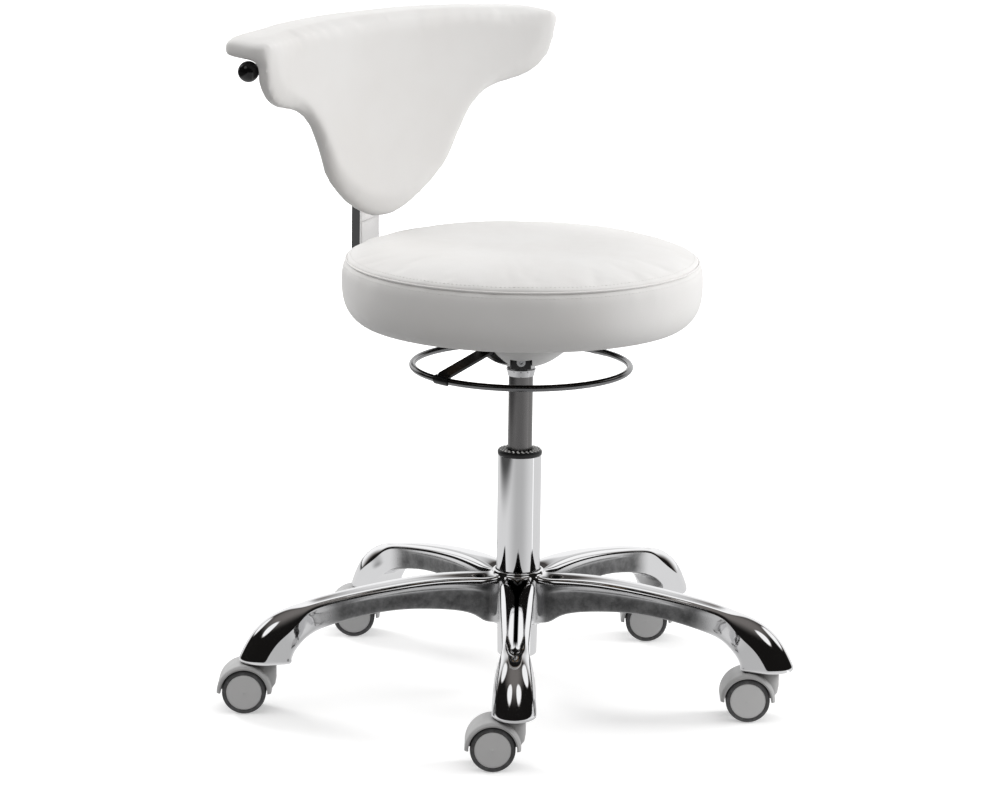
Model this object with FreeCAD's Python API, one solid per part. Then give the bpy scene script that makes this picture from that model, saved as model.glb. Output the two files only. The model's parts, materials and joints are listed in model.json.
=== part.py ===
import FreeCAD, Part
import math
import os

from FreeCAD import Placement, Rotation, Vector

# A round work stool with a five-arm base on twin-wheel castors, a gas column, a lift ring
# under the seat and a winged backrest. All sizes are in millimetres. Heights below are
# measured from the floor; the finished model is shifted down so that its origin is the
# middle of the seat's flat top. The sitter faces -Y and the backrest stands at +Y.

# ---- Driving dimensions ----
SEAT_TOP = 526.0
SEAT_RADIUS = 205.0
SEAT_BOTTOM = 437.0
SEAT_BOTTOM_RADIUS = 187.0
SEAT_FLAT_RADIUS = 120.0
SEAM_HEIGHT = 509.0
SEAM_RADIUS = 196.0
BOARD_RADIUS = 180.0
BOARD_BOTTOM = 438.0
BOARD_TOP = 450.0

COLUMN_RADIUS = 25.0
COLUMN_TOP = 281.0
COLUMN_BOTTOM = 45.0
COLUMN_WALL = 2.0
TAPER_DEGREES = 1.44
BUSH_CAP_TOP = 287.0
BUSH_BOTTOM = 205.0

TUBE_RADIUS = 14.0
TUBE_WALL = 1.5
TUBE_BOTTOM = 140.0
TUBE_TOP = 406.0
CONE_START = 375.0
CONE_TOP_RADIUS = 13.4
ROD_RADIUS = 5.0
PISTON_BOTTOM = 236.0
PISTON_TOP = 248.0
RUNNING_GAP = 0.05
SEATED_GAP = 0.02

ARM_COUNT = 5
FIRST_ARM_DEGREES = 224.6
STEM_CIRCLE = 300.0
HUB_RADIUS = 29.0
HUB_TOP = 146.0
HUB_BOTTOM = 84.0
FOOT_BOTTOM = 57.0

STEM_RADIUS = 5.5
STEM_BOTTOM = 39.0
STEM_TOP = 95.0
CASTOR_TRAIL_DEGREES = 135.0
CASTOR_TRAIL = 22.5
WHEEL_RADIUS = 25.0
HOOD_RADIUS = 31.0
HOOD_INNER_RADIUS = 26.6
HOOD_HALF_WIDTH = 26.0
HOOD_WEB_HALF_WIDTH = 6.6
HOOD_END_HEIGHT = 24.0
BOSS_RADIUS = 13.3
BOSS_TOP = 55.3
WHEEL_INNER_FACE = 7.5
WHEEL_OUTER_FACE = 24.5
TYRE_INNER_RADIUS = 20.4
AXLE_RADIUS = 3.0
AXLE_HALF_LENGTH = 19.5

RING_RADIUS = 124.0
RING_ROD_RADIUS = 3.8
RING_HEIGHT = 384.5
RING_ARM_WIDTH = 20.0
RING_ARM_THICKNESS = 3.0
LEVER_HEIGHT = 416.0
LEVER_PIVOT_X = -36.0
LEVER_PIN_RADIUS = 3.0
VALVE_PIN_RADIUS = 3.0
VALVE_REST_GAP = 0.5

PLATE_HALF_SIDE = 68.0
PLATE_SCREW_RADIUS = 4.0
PLATE_BOTTOM = 434.3
PLATE_TOP = 437.8
BOX_HALF_LENGTH = 41.0
BOX_HALF_WIDTH = 20.0
SHEET = 3.0
WEB_BOTTOM = 404.0
CUP_BOTTOM = 386.0
CUP_TOP = 433.5
CUP_RADIUS = 61.0
CUP_WALL = 2.0
CUP_NECK_RADIUS = 17.4
SOCKET_RADIUS = 16.0
CLAMP_DEGREES = 225.0
CLAMP_WIDTH = 23.0
CLAMP_FACE = 33.0
CLAMP_TOP = 401.5
CLAMP_SCREW_HEIGHT = 395.5
CLAMP_SCREW_RADIUS = 3.0

BAR_WIDTH = 32.0
BAR_THICKNESS = 16.0
BAR_CORNER = 2.5
BAR_WALL = 1.8
BAR_HEIGHT = 426.0
BAR_FRONT = 40.0
BAR_SCREW_RADIUS = 3.0
POST_Y = 262.0
POST_TOP = 688.0
BEND_RADIUS = 45.0

BACK_FACE_Y = 222.0
BACK_CURVE_RADIUS = 600.0
PAD_THICKNESS = 18.0
SHELL_THICKNESS = 5.0
SHELL_INSET = 17.0
BACK_HALF_WIDTH = 231.0
BACK_BOTTOM = 524.0
BACK_TOP = 762.0
RIM_BOTTOM = 733.2
RIM_DEPTH = 66.0
RIM_HALF_WIDTH = 241.0
RIM_CROWN_RADIUS = 3230.0
RIM_CORNER = 14.0
BLOCK_HALF_WIDTH = 42.0
BLOCK_BOTTOM = 600.0
BLOCK_TOP = 690.0
BLOCK_FRONT = 245.6
BLOCK_BACK = 276.0
SCREW_RADIUS = 2.5
SCREW_HOLE_RADIUS = 2.6
PIVOT_RADIUS = 4.0
LEVER_PIVOT_BEHIND = -30.0
LEVER_Z = 719.0
LEVER_ROD_RADIUS = 4.5
LEVER_CURVE_RADIUS = 632.0
KNOB_X = -228.0
KNOB_RADIUS = 12.0
KNOB_NECK_RADIUS = 7.0
KNOB_NECK_LENGTH = 18.0

X = Vector(1, 0, 0)
Y = Vector(0, 1, 0)
Z = Vector(0, 0, 1)


# ---- Shape helpers ----
def disc(radius, low, high, x=0.0, y=0.0):
    """Upright cylinder between two heights."""
    return Part.makeCylinder(radius, high - low, Vector(x, y, low))


def ring(outer, inner, low, high, x=0.0, y=0.0):
    """Upright tube between two heights."""
    hole = disc(inner, low - 1, high + 1, x, y)
    return disc(outer, low, high, x, y).cut(hole)


def block(x_range, y_range, z_range):
    """Box from three (low, high) pairs."""
    size = [high - low for low, high in (x_range, y_range, z_range)]
    corner = Vector(x_range[0], y_range[0], z_range[0])
    return Part.makeBox(size[0], size[1], size[2], corner)


def lathe(profile):
    """Solid of revolution about Z from a closed outline of (radius, height) points."""
    points = [Vector(r, 0, z) for r, z in profile]
    points.append(points[0])
    return Part.Face(Part.makePolygon(points)).revolve(Vector(0, 0, 0), Z, 360)


def smooth_curve(points, start_tangent, end_tangent):
    """Spline edge through (radius, height) points with set directions at its ends."""
    curve = Part.BSplineCurve()
    curve.interpolate([Vector(r, 0, z) for r, z in points],
                      InitialTangent=Vector(start_tangent[0], 0, start_tangent[1]),
                      FinalTangent=Vector(end_tangent[0], 0, end_tangent[1]))
    return curve.toShape()


def lathe_curves(curves, closing):
    """Solid of revolution from joined curves, closed by straight lines through points."""
    start = curves[0].Vertexes[0].Point
    end = curves[-1].Vertexes[-1].Point
    corners = [end] + [Vector(r, 0, z) for r, z in closing] + [start]
    wire = Part.Wire(curves + Part.makePolygon(corners).Edges)
    return Part.Face(wire).revolve(Vector(0, 0, 0), Z, 360)


def cross_rod(radius, half_length, x, z, y=0.0):
    """Cylinder along Y, centred on y."""
    return Part.makeCylinder(radius, 2 * half_length, Vector(x, y - half_length, z), Y)


def turned(shape, degrees):
    copy = shape.copy()
    copy.rotate(Vector(0, 0, 0), Z, degrees)
    return copy


def fused(shapes):
    return shapes[0].multiFuse(shapes[1:]).removeSplitter()


def hex_screw(x, y, head_low, head_high, tip, shank_radius, across_flats):
    """Hexagon screw: the shank runs from its head to the tip, up or down."""
    corner_radius = across_flats / math.sqrt(3)
    corners = []
    for side in range(7):
        angle = math.radians(60 * side)
        corners.append(Vector(x + corner_radius * math.cos(angle),
                              y + corner_radius * math.sin(angle), head_low))
    head = Part.Face(Part.makePolygon(corners)).extrude(Vector(0, 0, head_high - head_low))
    shank = disc(shank_radius, min(head_low, tip), max(head_high, tip), x, y)
    return head.fuse(shank).removeSplitter()


def taper_radius(height):
    """Outer radius of the column: straight above the hub, tapered inside and below it."""
    drop = max(0.0, HUB_TOP - height)
    return COLUMN_RADIUS - drop * math.tan(math.radians(TAPER_DEGREES))


# ---- Five-arm base ----
def arm_section(centre_r, centre_z, lean, depth, width, squareness):
    """Closed smooth section across the arm. lean 0 stands upright, 90 lies flat."""
    lean_angle = math.radians(lean)
    upward = Vector(math.sin(lean_angle), 0, math.cos(lean_angle))
    centre = Vector(centre_r, 0, centre_z)
    power = 2.0 / squareness
    points = []
    steps = 16
    for step in range(steps):
        angle = 2 * math.pi * step / steps
        across = math.copysign(abs(math.cos(angle)) ** power, math.cos(angle))
        along = math.copysign(abs(math.sin(angle)) ** power, math.sin(angle))
        points.append(centre + Y * (across * width / 2) + upward * (along * depth / 2))
    curve = Part.BSplineCurve()
    curve.interpolate(points, PeriodicFlag=True)
    return Part.Wire([curve.toShape()])


def base_arm():
    """One arm: a low arch from the hub that leans over into its foot."""
    sections = [
        arm_section(8, 114, 0, 58, 40, 2.6),
        arm_section(45, 119, 2, 45, 40, 2.6),
        arm_section(93, 124, 3, 38, 36, 2.6),
        arm_section(145, 124, 7, 32, 32, 2.6),
        arm_section(195, 118, 12, 30, 30, 2.6),
        arm_section(240, 107, 20, 32, 31, 2.6),
        arm_section(266, 98, 28, 35, 34, 2.6),
        arm_section(286, 88, 36, 38, 36, 2.6),
    ]
    return Part.makeLoft(sections, True, False)


def base_foot():
    """Bell-shaped foot that holds the castor stem; level sections, bottom first."""
    levels = ((FOOT_BOTTOM, 274, 329, 46), (68, 271.5, 329, 45), (80, 266, 324, 43),
              (92, 262, 315, 39), (101, 262, 304, 33), (107, 265, 293, 22))
    sections = []
    for height, inner, outer, width in levels:
        middle = (inner + outer) / 2
        sections.append(arm_section(middle, height, 90, outer - inner, width, 2.4))
    return Part.makeLoft(sections, True, False)


def arm_channel():
    """Hollow under the arm that a casting has, open downwards."""
    stations = ((38, 96, 26), (93, 134, 25), (150, 132, 22), (200, 125, 20), (236, 112, 16))
    depth = 60
    wires = []
    for centre_r, top, width in stations:
        corners = [Vector(centre_r, side * width / 2, height)
                   for side, height in ((-1, top - depth), (1, top - depth), (1, top), (-1, top))]
        wires.append(Part.makePolygon(corners + [corners[0]]))
    return Part.makeLoft(wires, True, True)


def star_base():
    arms = []
    channels = []
    sockets = []
    for number in range(ARM_COUNT):
        angle = FIRST_ARM_DEGREES + number * 360.0 / ARM_COUNT
        arms.append(turned(base_arm().fuse(base_foot()), angle))
        channels.append(turned(arm_channel(), angle))
        socket = disc(STEM_RADIUS + SEATED_GAP, FOOT_BOTTOM - 1, STEM_TOP + 1, STEM_CIRCLE)
        sockets.append(turned(socket, angle))
    hub = lathe([(0, HUB_BOTTOM), (HUB_RADIUS + 3, HUB_BOTTOM), (HUB_RADIUS + 2, HUB_TOP - 14),
                 (HUB_RADIUS, HUB_TOP), (0, HUB_TOP)])
    low = HUB_BOTTOM - 10
    bore = lathe([(0, low), (taper_radius(low) + SEATED_GAP, low),
                  (COLUMN_RADIUS + SEATED_GAP, HUB_TOP), (COLUMN_RADIUS + SEATED_GAP, HUB_TOP + 5),
                  (0, HUB_TOP + 5)])
    body = arms[0].multiFuse(arms[1:] + [hub])
    body = body.cut(channels[0].multiFuse(channels[1:]))
    hub_wall = ring(HUB_RADIUS + 2, COLUMN_RADIUS - 3, HUB_BOTTOM, HUB_TOP - 14)
    return body.fuse(hub_wall).cut(bore).cut(Part.makeCompound(sockets))


def castor_stems():
    stems = []
    for number in range(ARM_COUNT):
        x, y = stem_position(number)
        pin = disc(STEM_RADIUS, STEM_BOTTOM, STEM_TOP, x, y)
        stems.append(pin.makeChamfer(1.0, [pin.Edges[0], pin.Edges[2]]))
    return Part.makeCompound(stems)


# ---- Gas column ----
def column_tube():
    outer = lathe([(0, COLUMN_BOTTOM), (taper_radius(COLUMN_BOTTOM), COLUMN_BOTTOM),
                   (COLUMN_RADIUS, HUB_TOP), (COLUMN_RADIUS, COLUMN_TOP), (0, COLUMN_TOP)])
    floor = COLUMN_BOTTOM + 2.5
    inner = lathe([(0, floor), (taper_radius(floor) - COLUMN_WALL, floor),
                   (COLUMN_RADIUS - COLUMN_WALL, HUB_TOP),
                   (COLUMN_RADIUS - COLUMN_WALL, COLUMN_TOP + 1), (0, COLUMN_TOP + 1)])
    return outer.cut(inner).cut(disc(ROD_RADIUS + RUNNING_GAP, COLUMN_BOTTOM - 1, floor + 1))


def guide_bush():
    """Plastic bush inside the column's mouth, with the visible cap on top."""
    body_radius = COLUMN_RADIUS - COLUMN_WALL - SEATED_GAP
    cap_radius = COLUMN_RADIUS + 0.5
    outer = lathe([(0, BUSH_BOTTOM), (body_radius, BUSH_BOTTOM), (body_radius, COLUMN_TOP),
                   (cap_radius, COLUMN_TOP), (cap_radius, BUSH_CAP_TOP - 1.5),
                   (cap_radius - 1.5, BUSH_CAP_TOP), (0, BUSH_CAP_TOP)])
    return outer.cut(disc(TUBE_RADIUS + RUNNING_GAP, BUSH_BOTTOM - 1, BUSH_CAP_TOP + 1))


def thrust_bearing():
    return ring(11.0, ROD_RADIUS + 1.0, COLUMN_BOTTOM + 2.5, COLUMN_BOTTOM + 8.0)


def piston_rod():
    rod = disc(ROD_RADIUS, COLUMN_BOTTOM - 2.6, PISTON_TOP)
    shoulder = disc(9.0, COLUMN_BOTTOM + 8.0 + RUNNING_GAP, COLUMN_BOTTOM + 12.0)
    riveted_end = disc(8.0, COLUMN_BOTTOM - 2.2, COLUMN_BOTTOM - 0.1)
    return fused([rod, shoulder, riveted_end])


def piston_head():
    bore = TUBE_RADIUS - TUBE_WALL
    return ring(bore - RUNNING_GAP, ROD_RADIUS + SEATED_GAP, PISTON_BOTTOM, PISTON_TOP)


def pressure_tube():
    """Sliding cylinder of the gas spring, with its valve crimped into the upper cone."""
    outer = lathe([(0, TUBE_BOTTOM), (TUBE_RADIUS, TUBE_BOTTOM), (TUBE_RADIUS, CONE_START),
                   (CONE_TOP_RADIUS, TUBE_TOP), (0, TUBE_TOP)])
    bore = TUBE_RADIUS - TUBE_WALL
    tube = outer.cut(disc(bore, TUBE_BOTTOM - 1, TUBE_TOP + 1))
    valve = ring(bore, VALVE_PIN_RADIUS + RUNNING_GAP, TUBE_TOP - 22, TUBE_TOP - 2)
    return tube.fuse(valve).removeSplitter()


def rod_seal():
    bore = TUBE_RADIUS - TUBE_WALL
    return ring(bore - SEATED_GAP, ROD_RADIUS + RUNNING_GAP, TUBE_BOTTOM, TUBE_BOTTOM + 12)


def release_pin():
    top = LEVER_HEIGHT - RING_ARM_THICKNESS / 2 - VALVE_REST_GAP
    return disc(VALVE_PIN_RADIUS, TUBE_TOP - 18, top)


# ---- Seat mechanism ----
def cone_socket():
    """Steel socket that grips the column's upper cone, with a flared lower collar."""
    radius = SOCKET_RADIUS
    outer = lathe([(0, 373), (radius - 1, 373), (radius + 0.75, 380), (radius + 0.75, 381.5),
                   (radius, 382.5), (radius, WEB_BOTTOM + SHEET), (0, WEB_BOTTOM + SHEET)])
    gap = SEATED_GAP
    bore = lathe([(0, 370), (TUBE_RADIUS + gap, 370), (TUBE_RADIUS + gap, CONE_START),
                  (CONE_TOP_RADIUS + gap, TUBE_TOP), (CONE_TOP_RADIUS + gap, TUBE_TOP + 5),
                  (0, TUBE_TOP + 5)])
    return outer.cut(bore)


def mechanism_plate():
    """Seat plate with a folded box under it that holds the socket and the lever pin."""
    half = PLATE_HALF_SIDE
    plate = block((-half, half), (-half, half), (PLATE_BOTTOM, PLATE_TOP))
    parts = [plate]
    for side in (-1, 1):
        inner = side * (BOX_HALF_WIDTH - SHEET)
        outer = side * BOX_HALF_WIDTH
        wall = (min(inner, outer), max(inner, outer))
        parts.append(block((-BOX_HALF_LENGTH, BOX_HALF_LENGTH), wall, (WEB_BOTTOM, PLATE_BOTTOM)))
    web = block((-24, 24), (-BOX_HALF_WIDTH, BOX_HALF_WIDTH), (WEB_BOTTOM, WEB_BOTTOM + SHEET))
    parts.append(web)
    body = fused(parts)
    body = body.cut(disc(SOCKET_RADIUS + SEATED_GAP, WEB_BOTTOM - 1, WEB_BOTTOM + SHEET + 1))
    body = body.cut(cross_rod(LEVER_PIN_RADIUS + SEATED_GAP, BOX_HALF_WIDTH + 5,
                              LEVER_PIVOT_X, LEVER_HEIGHT))
    for x, y in plate_screw_places():
        body = body.cut(disc(PLATE_SCREW_RADIUS + 0.1, PLATE_BOTTOM - 1, PLATE_TOP + 1, x, y))
    for y in bar_screw_places():
        body = body.cut(disc(BAR_SCREW_RADIUS + 0.1, PLATE_BOTTOM - 1, PLATE_TOP + 1, 0, y))
    return body


def plate_screw_places():
    offset = PLATE_HALF_SIDE - 13
    return [(x, y) for x in (-offset, offset) for y in (-offset, offset)]


def bar_screw_places():
    return (BAR_FRONT + 8, PLATE_HALF_SIDE - 7)


def plate_screws():
    screws = []
    for x, y in plate_screw_places():
        screws.append(hex_screw(x, y, PLATE_BOTTOM - 5.3, PLATE_BOTTOM, BOARD_TOP - 3,
                                PLATE_SCREW_RADIUS, 13.0))
    return Part.makeCompound(screws)


def bar_screws():
    underside = BAR_HEIGHT - BAR_THICKNESS / 2
    screws = []
    for y in bar_screw_places():
        screws.append(hex_screw(0, y, underside - 4, underside, PLATE_TOP, BAR_SCREW_RADIUS, 10.0))
    return Part.makeCompound(screws)


def lever_pin():
    return cross_rod(LEVER_PIN_RADIUS, BOX_HALF_WIDTH + 2, LEVER_PIVOT_X, LEVER_HEIGHT)


def clamp_block():
    """Small block on the side of the socket that carries the clamp screw."""
    half = CLAMP_WIDTH / 2
    body = block((SOCKET_RADIUS + 0.2, CLAMP_FACE), (-half, half), (CUP_BOTTOM + 0.5, CLAMP_TOP))
    front_edges = [edge for edge in body.Edges if edge.BoundBox.XMin > CLAMP_FACE - 0.1]
    body = body.makeFillet(2.0, front_edges)
    hole_start = Vector(SOCKET_RADIUS + 1.5, 0, CLAMP_SCREW_HEIGHT)
    screw_hole = Part.makeCylinder(CLAMP_SCREW_RADIUS + RUNNING_GAP, 30, hole_start, X)
    return turned(body.cut(screw_hole), CLAMP_DEGREES)


def clamp_screw():
    """Socket-head screw that tightens the clamp block, with a hexagon recess."""
    start = SOCKET_RADIUS + 1.6
    shank = Part.makeCylinder(CLAMP_SCREW_RADIUS, CLAMP_FACE - start + 0.1,
                              Vector(start, 0, CLAMP_SCREW_HEIGHT), X)
    head = Part.makeCylinder(5.0, 4.0, Vector(CLAMP_FACE, 0, CLAMP_SCREW_HEIGHT), X)
    recess_radius = 2.5
    corners = []
    for side in range(7):
        angle = math.radians(60 * side)
        corners.append(Vector(CLAMP_FACE + 4.2, recess_radius * math.cos(angle),
                              CLAMP_SCREW_HEIGHT + recess_radius * math.sin(angle)))
    recess = Part.Face(Part.makePolygon(corners)).extrude(X * -2.7)
    screw = shank.fuse(head).cut(recess).removeSplitter()
    return turned(screw, CLAMP_DEGREES)


def cup_curve(inset):
    """Outline of the bowl under the mechanism; inset moves it inwards and up."""
    points = [(CUP_NECK_RADIUS, CUP_BOTTOM + inset), (26 - inset, CUP_BOTTOM + 2 + inset),
              (38 - inset, CUP_BOTTOM + 8 + inset), (50 - inset, CUP_BOTTOM + 17 + inset),
              (CUP_RADIUS - inset, CUP_TOP)]
    return smooth_curve(points, (1, 0.1), (0, 1))


def mechanism_cover():
    """Thin bowl around the mechanism, slotted for the ring's arm, the bar and the clamp."""
    outer = lathe_curves([cup_curve(0.0)], [(CUP_NECK_RADIUS, CUP_TOP)])
    inner = lathe_curves([cup_curve(CUP_WALL)], [(CUP_NECK_RADIUS, CUP_TOP)])
    bowl = outer.cut(inner)
    arm_half = RING_ARM_WIDTH / 2 + 3
    bar_half = BAR_WIDTH / 2 + 3
    clamp_half = CLAMP_WIDTH / 2 + 1
    arm_slot = block((-80, 80), (-arm_half, arm_half), (CUP_BOTTOM + 6, CUP_TOP + 1))
    bar_slot = block((-bar_half, bar_half), (0, 80), (BAR_HEIGHT - 17, CUP_TOP + 1))
    clamp_window = turned(block((10, 45), (-clamp_half, clamp_half), (380, CLAMP_TOP + 1.5)),
                          CLAMP_DEGREES)
    return bowl.cut(arm_slot).cut(bar_slot).cut(clamp_window)


# ---- Lift ring ----
def release_ring():
    return Part.makeTorus(RING_RADIUS, RING_ROD_RADIUS, Vector(0, 0, RING_HEIGHT))


def ring_arms():
    """Bent flat bar across the ring, hinged on the lever pin above the valve."""
    half = RING_ARM_THICKNESS / 2
    level = LEVER_HEIGHT
    end_x = RING_RADIUS - 2.5
    end_z = RING_HEIGHT + RING_ROD_RADIUS
    upper = [(-end_x, end_z + half), (-46, 411.5), (-32, level), (32, level), (46, 411.5),
             (end_x, end_z + half)]
    top_edge = [Vector(x, -RING_ARM_WIDTH / 2, z + half) for x, z in upper]
    bottom_edge = [Vector(x, -RING_ARM_WIDTH / 2, z - half) for x, z in reversed(upper)]
    outline = Part.makePolygon(top_edge + bottom_edge + [top_edge[0]])
    bar = Part.Face(outline).extrude(Y * RING_ARM_WIDTH)
    eye = cross_rod(6.0, RING_ARM_WIDTH / 2, LEVER_PIVOT_X, level)
    bore = cross_rod(LEVER_PIN_RADIUS + RUNNING_GAP, RING_ARM_WIDTH, LEVER_PIVOT_X, level)
    ring_space = Part.makeTorus(RING_RADIUS, RING_ROD_RADIUS + SEATED_GAP, Vector(0, 0, RING_HEIGHT))
    return bar.fuse(eye).cut(bore).cut(ring_space)


# ---- Seat ----
def seat_board():
    board = disc(BOARD_RADIUS, BOARD_BOTTOM, BOARD_TOP)
    for x, y in plate_screw_places():
        board = board.cut(disc(PLATE_SCREW_RADIUS + 0.1, BOARD_BOTTOM - 1, BOARD_TOP - 2, x, y))
    return board


def seat_cushion():
    """Round cushion: flat in the middle, crowned to its seam, with a full side band."""
    seam = (SEAM_RADIUS, SEAM_HEIGHT)
    crown = smooth_curve([(SEAT_FLAT_RADIUS, SEAT_TOP), (165, SEAT_TOP - 2.7),
                          (SEAM_RADIUS - 10, SEAT_TOP - 9), seam], (1, 0), (1, -1.2))
    band = smooth_curve([seam, (SEAT_RADIUS - 2, 499), (SEAT_RADIUS, 480), (SEAT_RADIUS - 2.5, 459),
                         (SEAT_RADIUS - 9, 444), (SEAT_BOTTOM_RADIUS, SEAT_BOTTOM)],
                        (1, -1.2), (-1, -0.3))
    closing = [(BOARD_RADIUS + 0.6, SEAT_BOTTOM), (BOARD_RADIUS + 0.6, BOARD_TOP + 0.2),
               (0, BOARD_TOP + 0.2), (0, SEAT_TOP)]
    return lathe_curves([crown, band], closing)


# ---- Backrest bar ----
def bar_section(width, thickness, corner, y, z, upright):
    """Rounded rectangle across the bar's path: level for the post, else standing upright."""
    if upright:
        out = Y
    else:
        out = Z
    centre = Vector(0, y, z)
    half_width = width / 2
    half_depth = thickness / 2
    inset = corner * (1 - math.sqrt(0.5))
    edges = []
    turns = ((1, 1), (-1, 1), (-1, -1), (1, -1))
    for step, (right, up) in enumerate(turns):
        tip = centre + X * (right * half_width) + out * (up * half_depth)
        on_side = tip - out * (up * corner)
        on_end = tip - X * (right * corner)
        middle = tip - X * (right * inset) - out * (up * inset)
        if step % 2 == 0:
            start, end = on_side, on_end
        else:
            start, end = on_end, on_side
        edges.append((start, middle, end))
    wire_edges = []
    for step, (start, middle, end) in enumerate(edges):
        next_start = edges[(step + 1) % len(edges)][0]
        wire_edges.append(Part.Arc(start, middle, end).toShape())
        wire_edges.append(Part.makeLine(end, next_start))
    return Part.Wire(wire_edges)


def bar_solid(inset):
    """Bar that runs back under the seat and bends up into the post; inset makes its bore."""
    width = BAR_WIDTH - 2 * inset
    thickness = BAR_THICKNESS - 2 * inset
    corner = max(BAR_CORNER - inset, 0.5)
    start = Vector(0, BAR_FRONT, BAR_HEIGHT)
    bend_start = Vector(0, POST_Y - BEND_RADIUS, BAR_HEIGHT)
    bend_end = Vector(0, POST_Y, BAR_HEIGHT + BEND_RADIUS)
    half_turn = math.radians(45)
    middle = Vector(0, POST_Y - BEND_RADIUS + BEND_RADIUS * math.sin(half_turn),
                    BAR_HEIGHT + BEND_RADIUS - BEND_RADIUS * math.cos(half_turn))
    path = Part.Wire([
        Part.makeLine(start, bend_start),
        Part.Arc(bend_start, middle, bend_end).toShape(),
        Part.makeLine(bend_end, Vector(0, POST_Y, POST_TOP)),
    ])
    section = bar_section(width, thickness, corner, BAR_FRONT, BAR_HEIGHT, False)
    return path.makePipeShell([section], True, False)


def backrest_bar():
    bar = bar_solid(0.0).cut(bar_solid(BAR_WALL))
    cap_thickness = 3.0
    end_cap = bar_section(BAR_WIDTH - 2 * BAR_WALL, BAR_THICKNESS - 2 * BAR_WALL, 0.7,
                          POST_Y, POST_TOP - cap_thickness, True)
    bar = bar.fuse(Part.Face(end_cap).extrude(Z * cap_thickness))
    for y in bar_screw_places():
        bar = bar.cut(disc(BAR_SCREW_RADIUS + 0.1, BAR_HEIGHT - 20, BAR_HEIGHT + 20, 0, y))
    return bar.removeSplitter()


# ---- Backrest ----
def back_centre():
    """Centre of the backrest's curve in plan."""
    return Vector(0, BACK_FACE_Y - BACK_CURVE_RADIUS, 0)


def curved_layer(front, back, low, high):
    """Part of an upright cylinder wall, between two depths behind the backrest's face."""
    centre = back_centre()
    wall = ring(BACK_CURVE_RADIUS + back, BACK_CURVE_RADIUS + front, low, high, 0, centre.y)
    near = block((-300, 300), (80, 400), (low - 1, high + 1))
    return wall.common(near)


def wing_outline(inset):
    """Front outline of the winged pad, extruded through the backrest."""
    half = BACK_HALF_WIDTH - inset
    right = [(half, RIM_BOTTOM - 0.2), (half - 2, 707), (half - 25, 680 + inset),
             (150 - inset, 661 + inset), (116 - inset, 624), (98 - inset, 587),
             (64 - inset, 551 + inset), (0, BACK_BOTTOM + inset)]
    left = [(-x, z) for x, z in reversed(right[:-1])]
    curve = Part.BSplineCurve()
    curve.interpolate([Vector(x, 0, z) for x, z in right + left])
    top = Part.makeLine(curve.EndPoint, curve.StartPoint)
    face = Part.Face(Part.Wire([curve.toShape(), top]))
    return face.extrude(Y * 400)


def backrest_pad():
    layer = curved_layer(0, PAD_THICKNESS, BACK_BOTTOM - 20, BACK_TOP)
    return layer.common(wing_outline(0))


def backrest_shell():
    """Thin board behind the pad that the slide block is screwed to."""
    back = PAD_THICKNESS + SHELL_THICKNESS
    layer = curved_layer(PAD_THICKNESS + 0.1, back, BACK_BOTTOM - 20, BACK_TOP)
    shell = layer.common(wing_outline(SHELL_INSET))
    for x, z in shell_screw_places():
        start = Vector(x, BACK_FACE_Y + PAD_THICKNESS - 3, z)
        shell = shell.cut(Part.makeCylinder(SCREW_HOLE_RADIUS, 60, start, Y))
    return shell


def rim_pad():
    """Padded rim, crowned along its length, that runs back from the backrest's top edge."""
    layer = curved_layer(0, RIM_DEPTH, RIM_BOTTOM, BACK_TOP + 1)
    rim = layer.common(block((-RIM_HALF_WIDTH, RIM_HALF_WIDTH), (80, 400), (700, 800)))
    corners = [edge for edge in rim.Edges
               if abs(edge.BoundBox.ZLength - (BACK_TOP + 1 - RIM_BOTTOM)) < 0.1]
    rim = rim.makeFillet(RIM_CORNER, corners)
    return rim.common(cross_rod(RIM_CROWN_RADIUS, 200, 0, BACK_TOP - RIM_CROWN_RADIUS, 240))


def shell_screw_places():
    return [(x, z) for x in (-32, 32) for z in (BLOCK_BOTTOM + 14, BLOCK_TOP - 40)]


def slide_block():
    """Block that slides on the post and carries the backrest and the lock lever."""
    body = block((-BLOCK_HALF_WIDTH, BLOCK_HALF_WIDTH), (BLOCK_FRONT, BLOCK_BACK),
                 (BLOCK_BOTTOM, BLOCK_TOP))
    upright = [edge for edge in body.Edges if edge.BoundBox.ZLength > 50
               and edge.BoundBox.YMin > BLOCK_FRONT + 1]
    body = body.makeFillet(8.0, upright)
    gap = 2 * RUNNING_GAP
    bore = bar_section(BAR_WIDTH + gap, BAR_THICKNESS + gap, BAR_CORNER, POST_Y, BLOCK_BOTTOM - 1, True)
    body = body.cut(Part.Face(bore).extrude(Z * (BLOCK_TOP - BLOCK_BOTTOM + 2)))
    for x, z in shell_screw_places():
        start = Vector(x, BLOCK_FRONT - 5, z)
        body = body.cut(Part.makeCylinder(SCREW_HOLE_RADIUS, 60, start, Y))
    place = lever_point(LEVER_PIVOT_BEHIND)
    pivot = disc(PIVOT_RADIUS, BLOCK_TOP - 1, LEVER_Z + 8, place.x, place.y)
    collar = disc(2 * PIVOT_RADIUS, BLOCK_TOP - 1, LEVER_Z - 7.5, place.x, place.y)
    return fused([body, pivot, collar])


def shell_screws():
    """Round-head screws from the block's back face into the shell."""
    screws = []
    for x, z in shell_screw_places():
        tip = BACK_FACE_Y + PAD_THICKNESS + 1.5
        shank = Part.makeCylinder(SCREW_RADIUS, BLOCK_BACK - tip, Vector(x, tip, z), Y)
        head = Part.makeCylinder(2 * SCREW_RADIUS, 3.0, Vector(x, BLOCK_BACK, z), Y)
        recess = Part.makeCylinder(1.8, 2.0, Vector(x, BLOCK_BACK + 1.5, z), Y)
        screws.append(shank.fuse(head).cut(recess).removeSplitter())
    return Part.makeCompound(screws)


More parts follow.
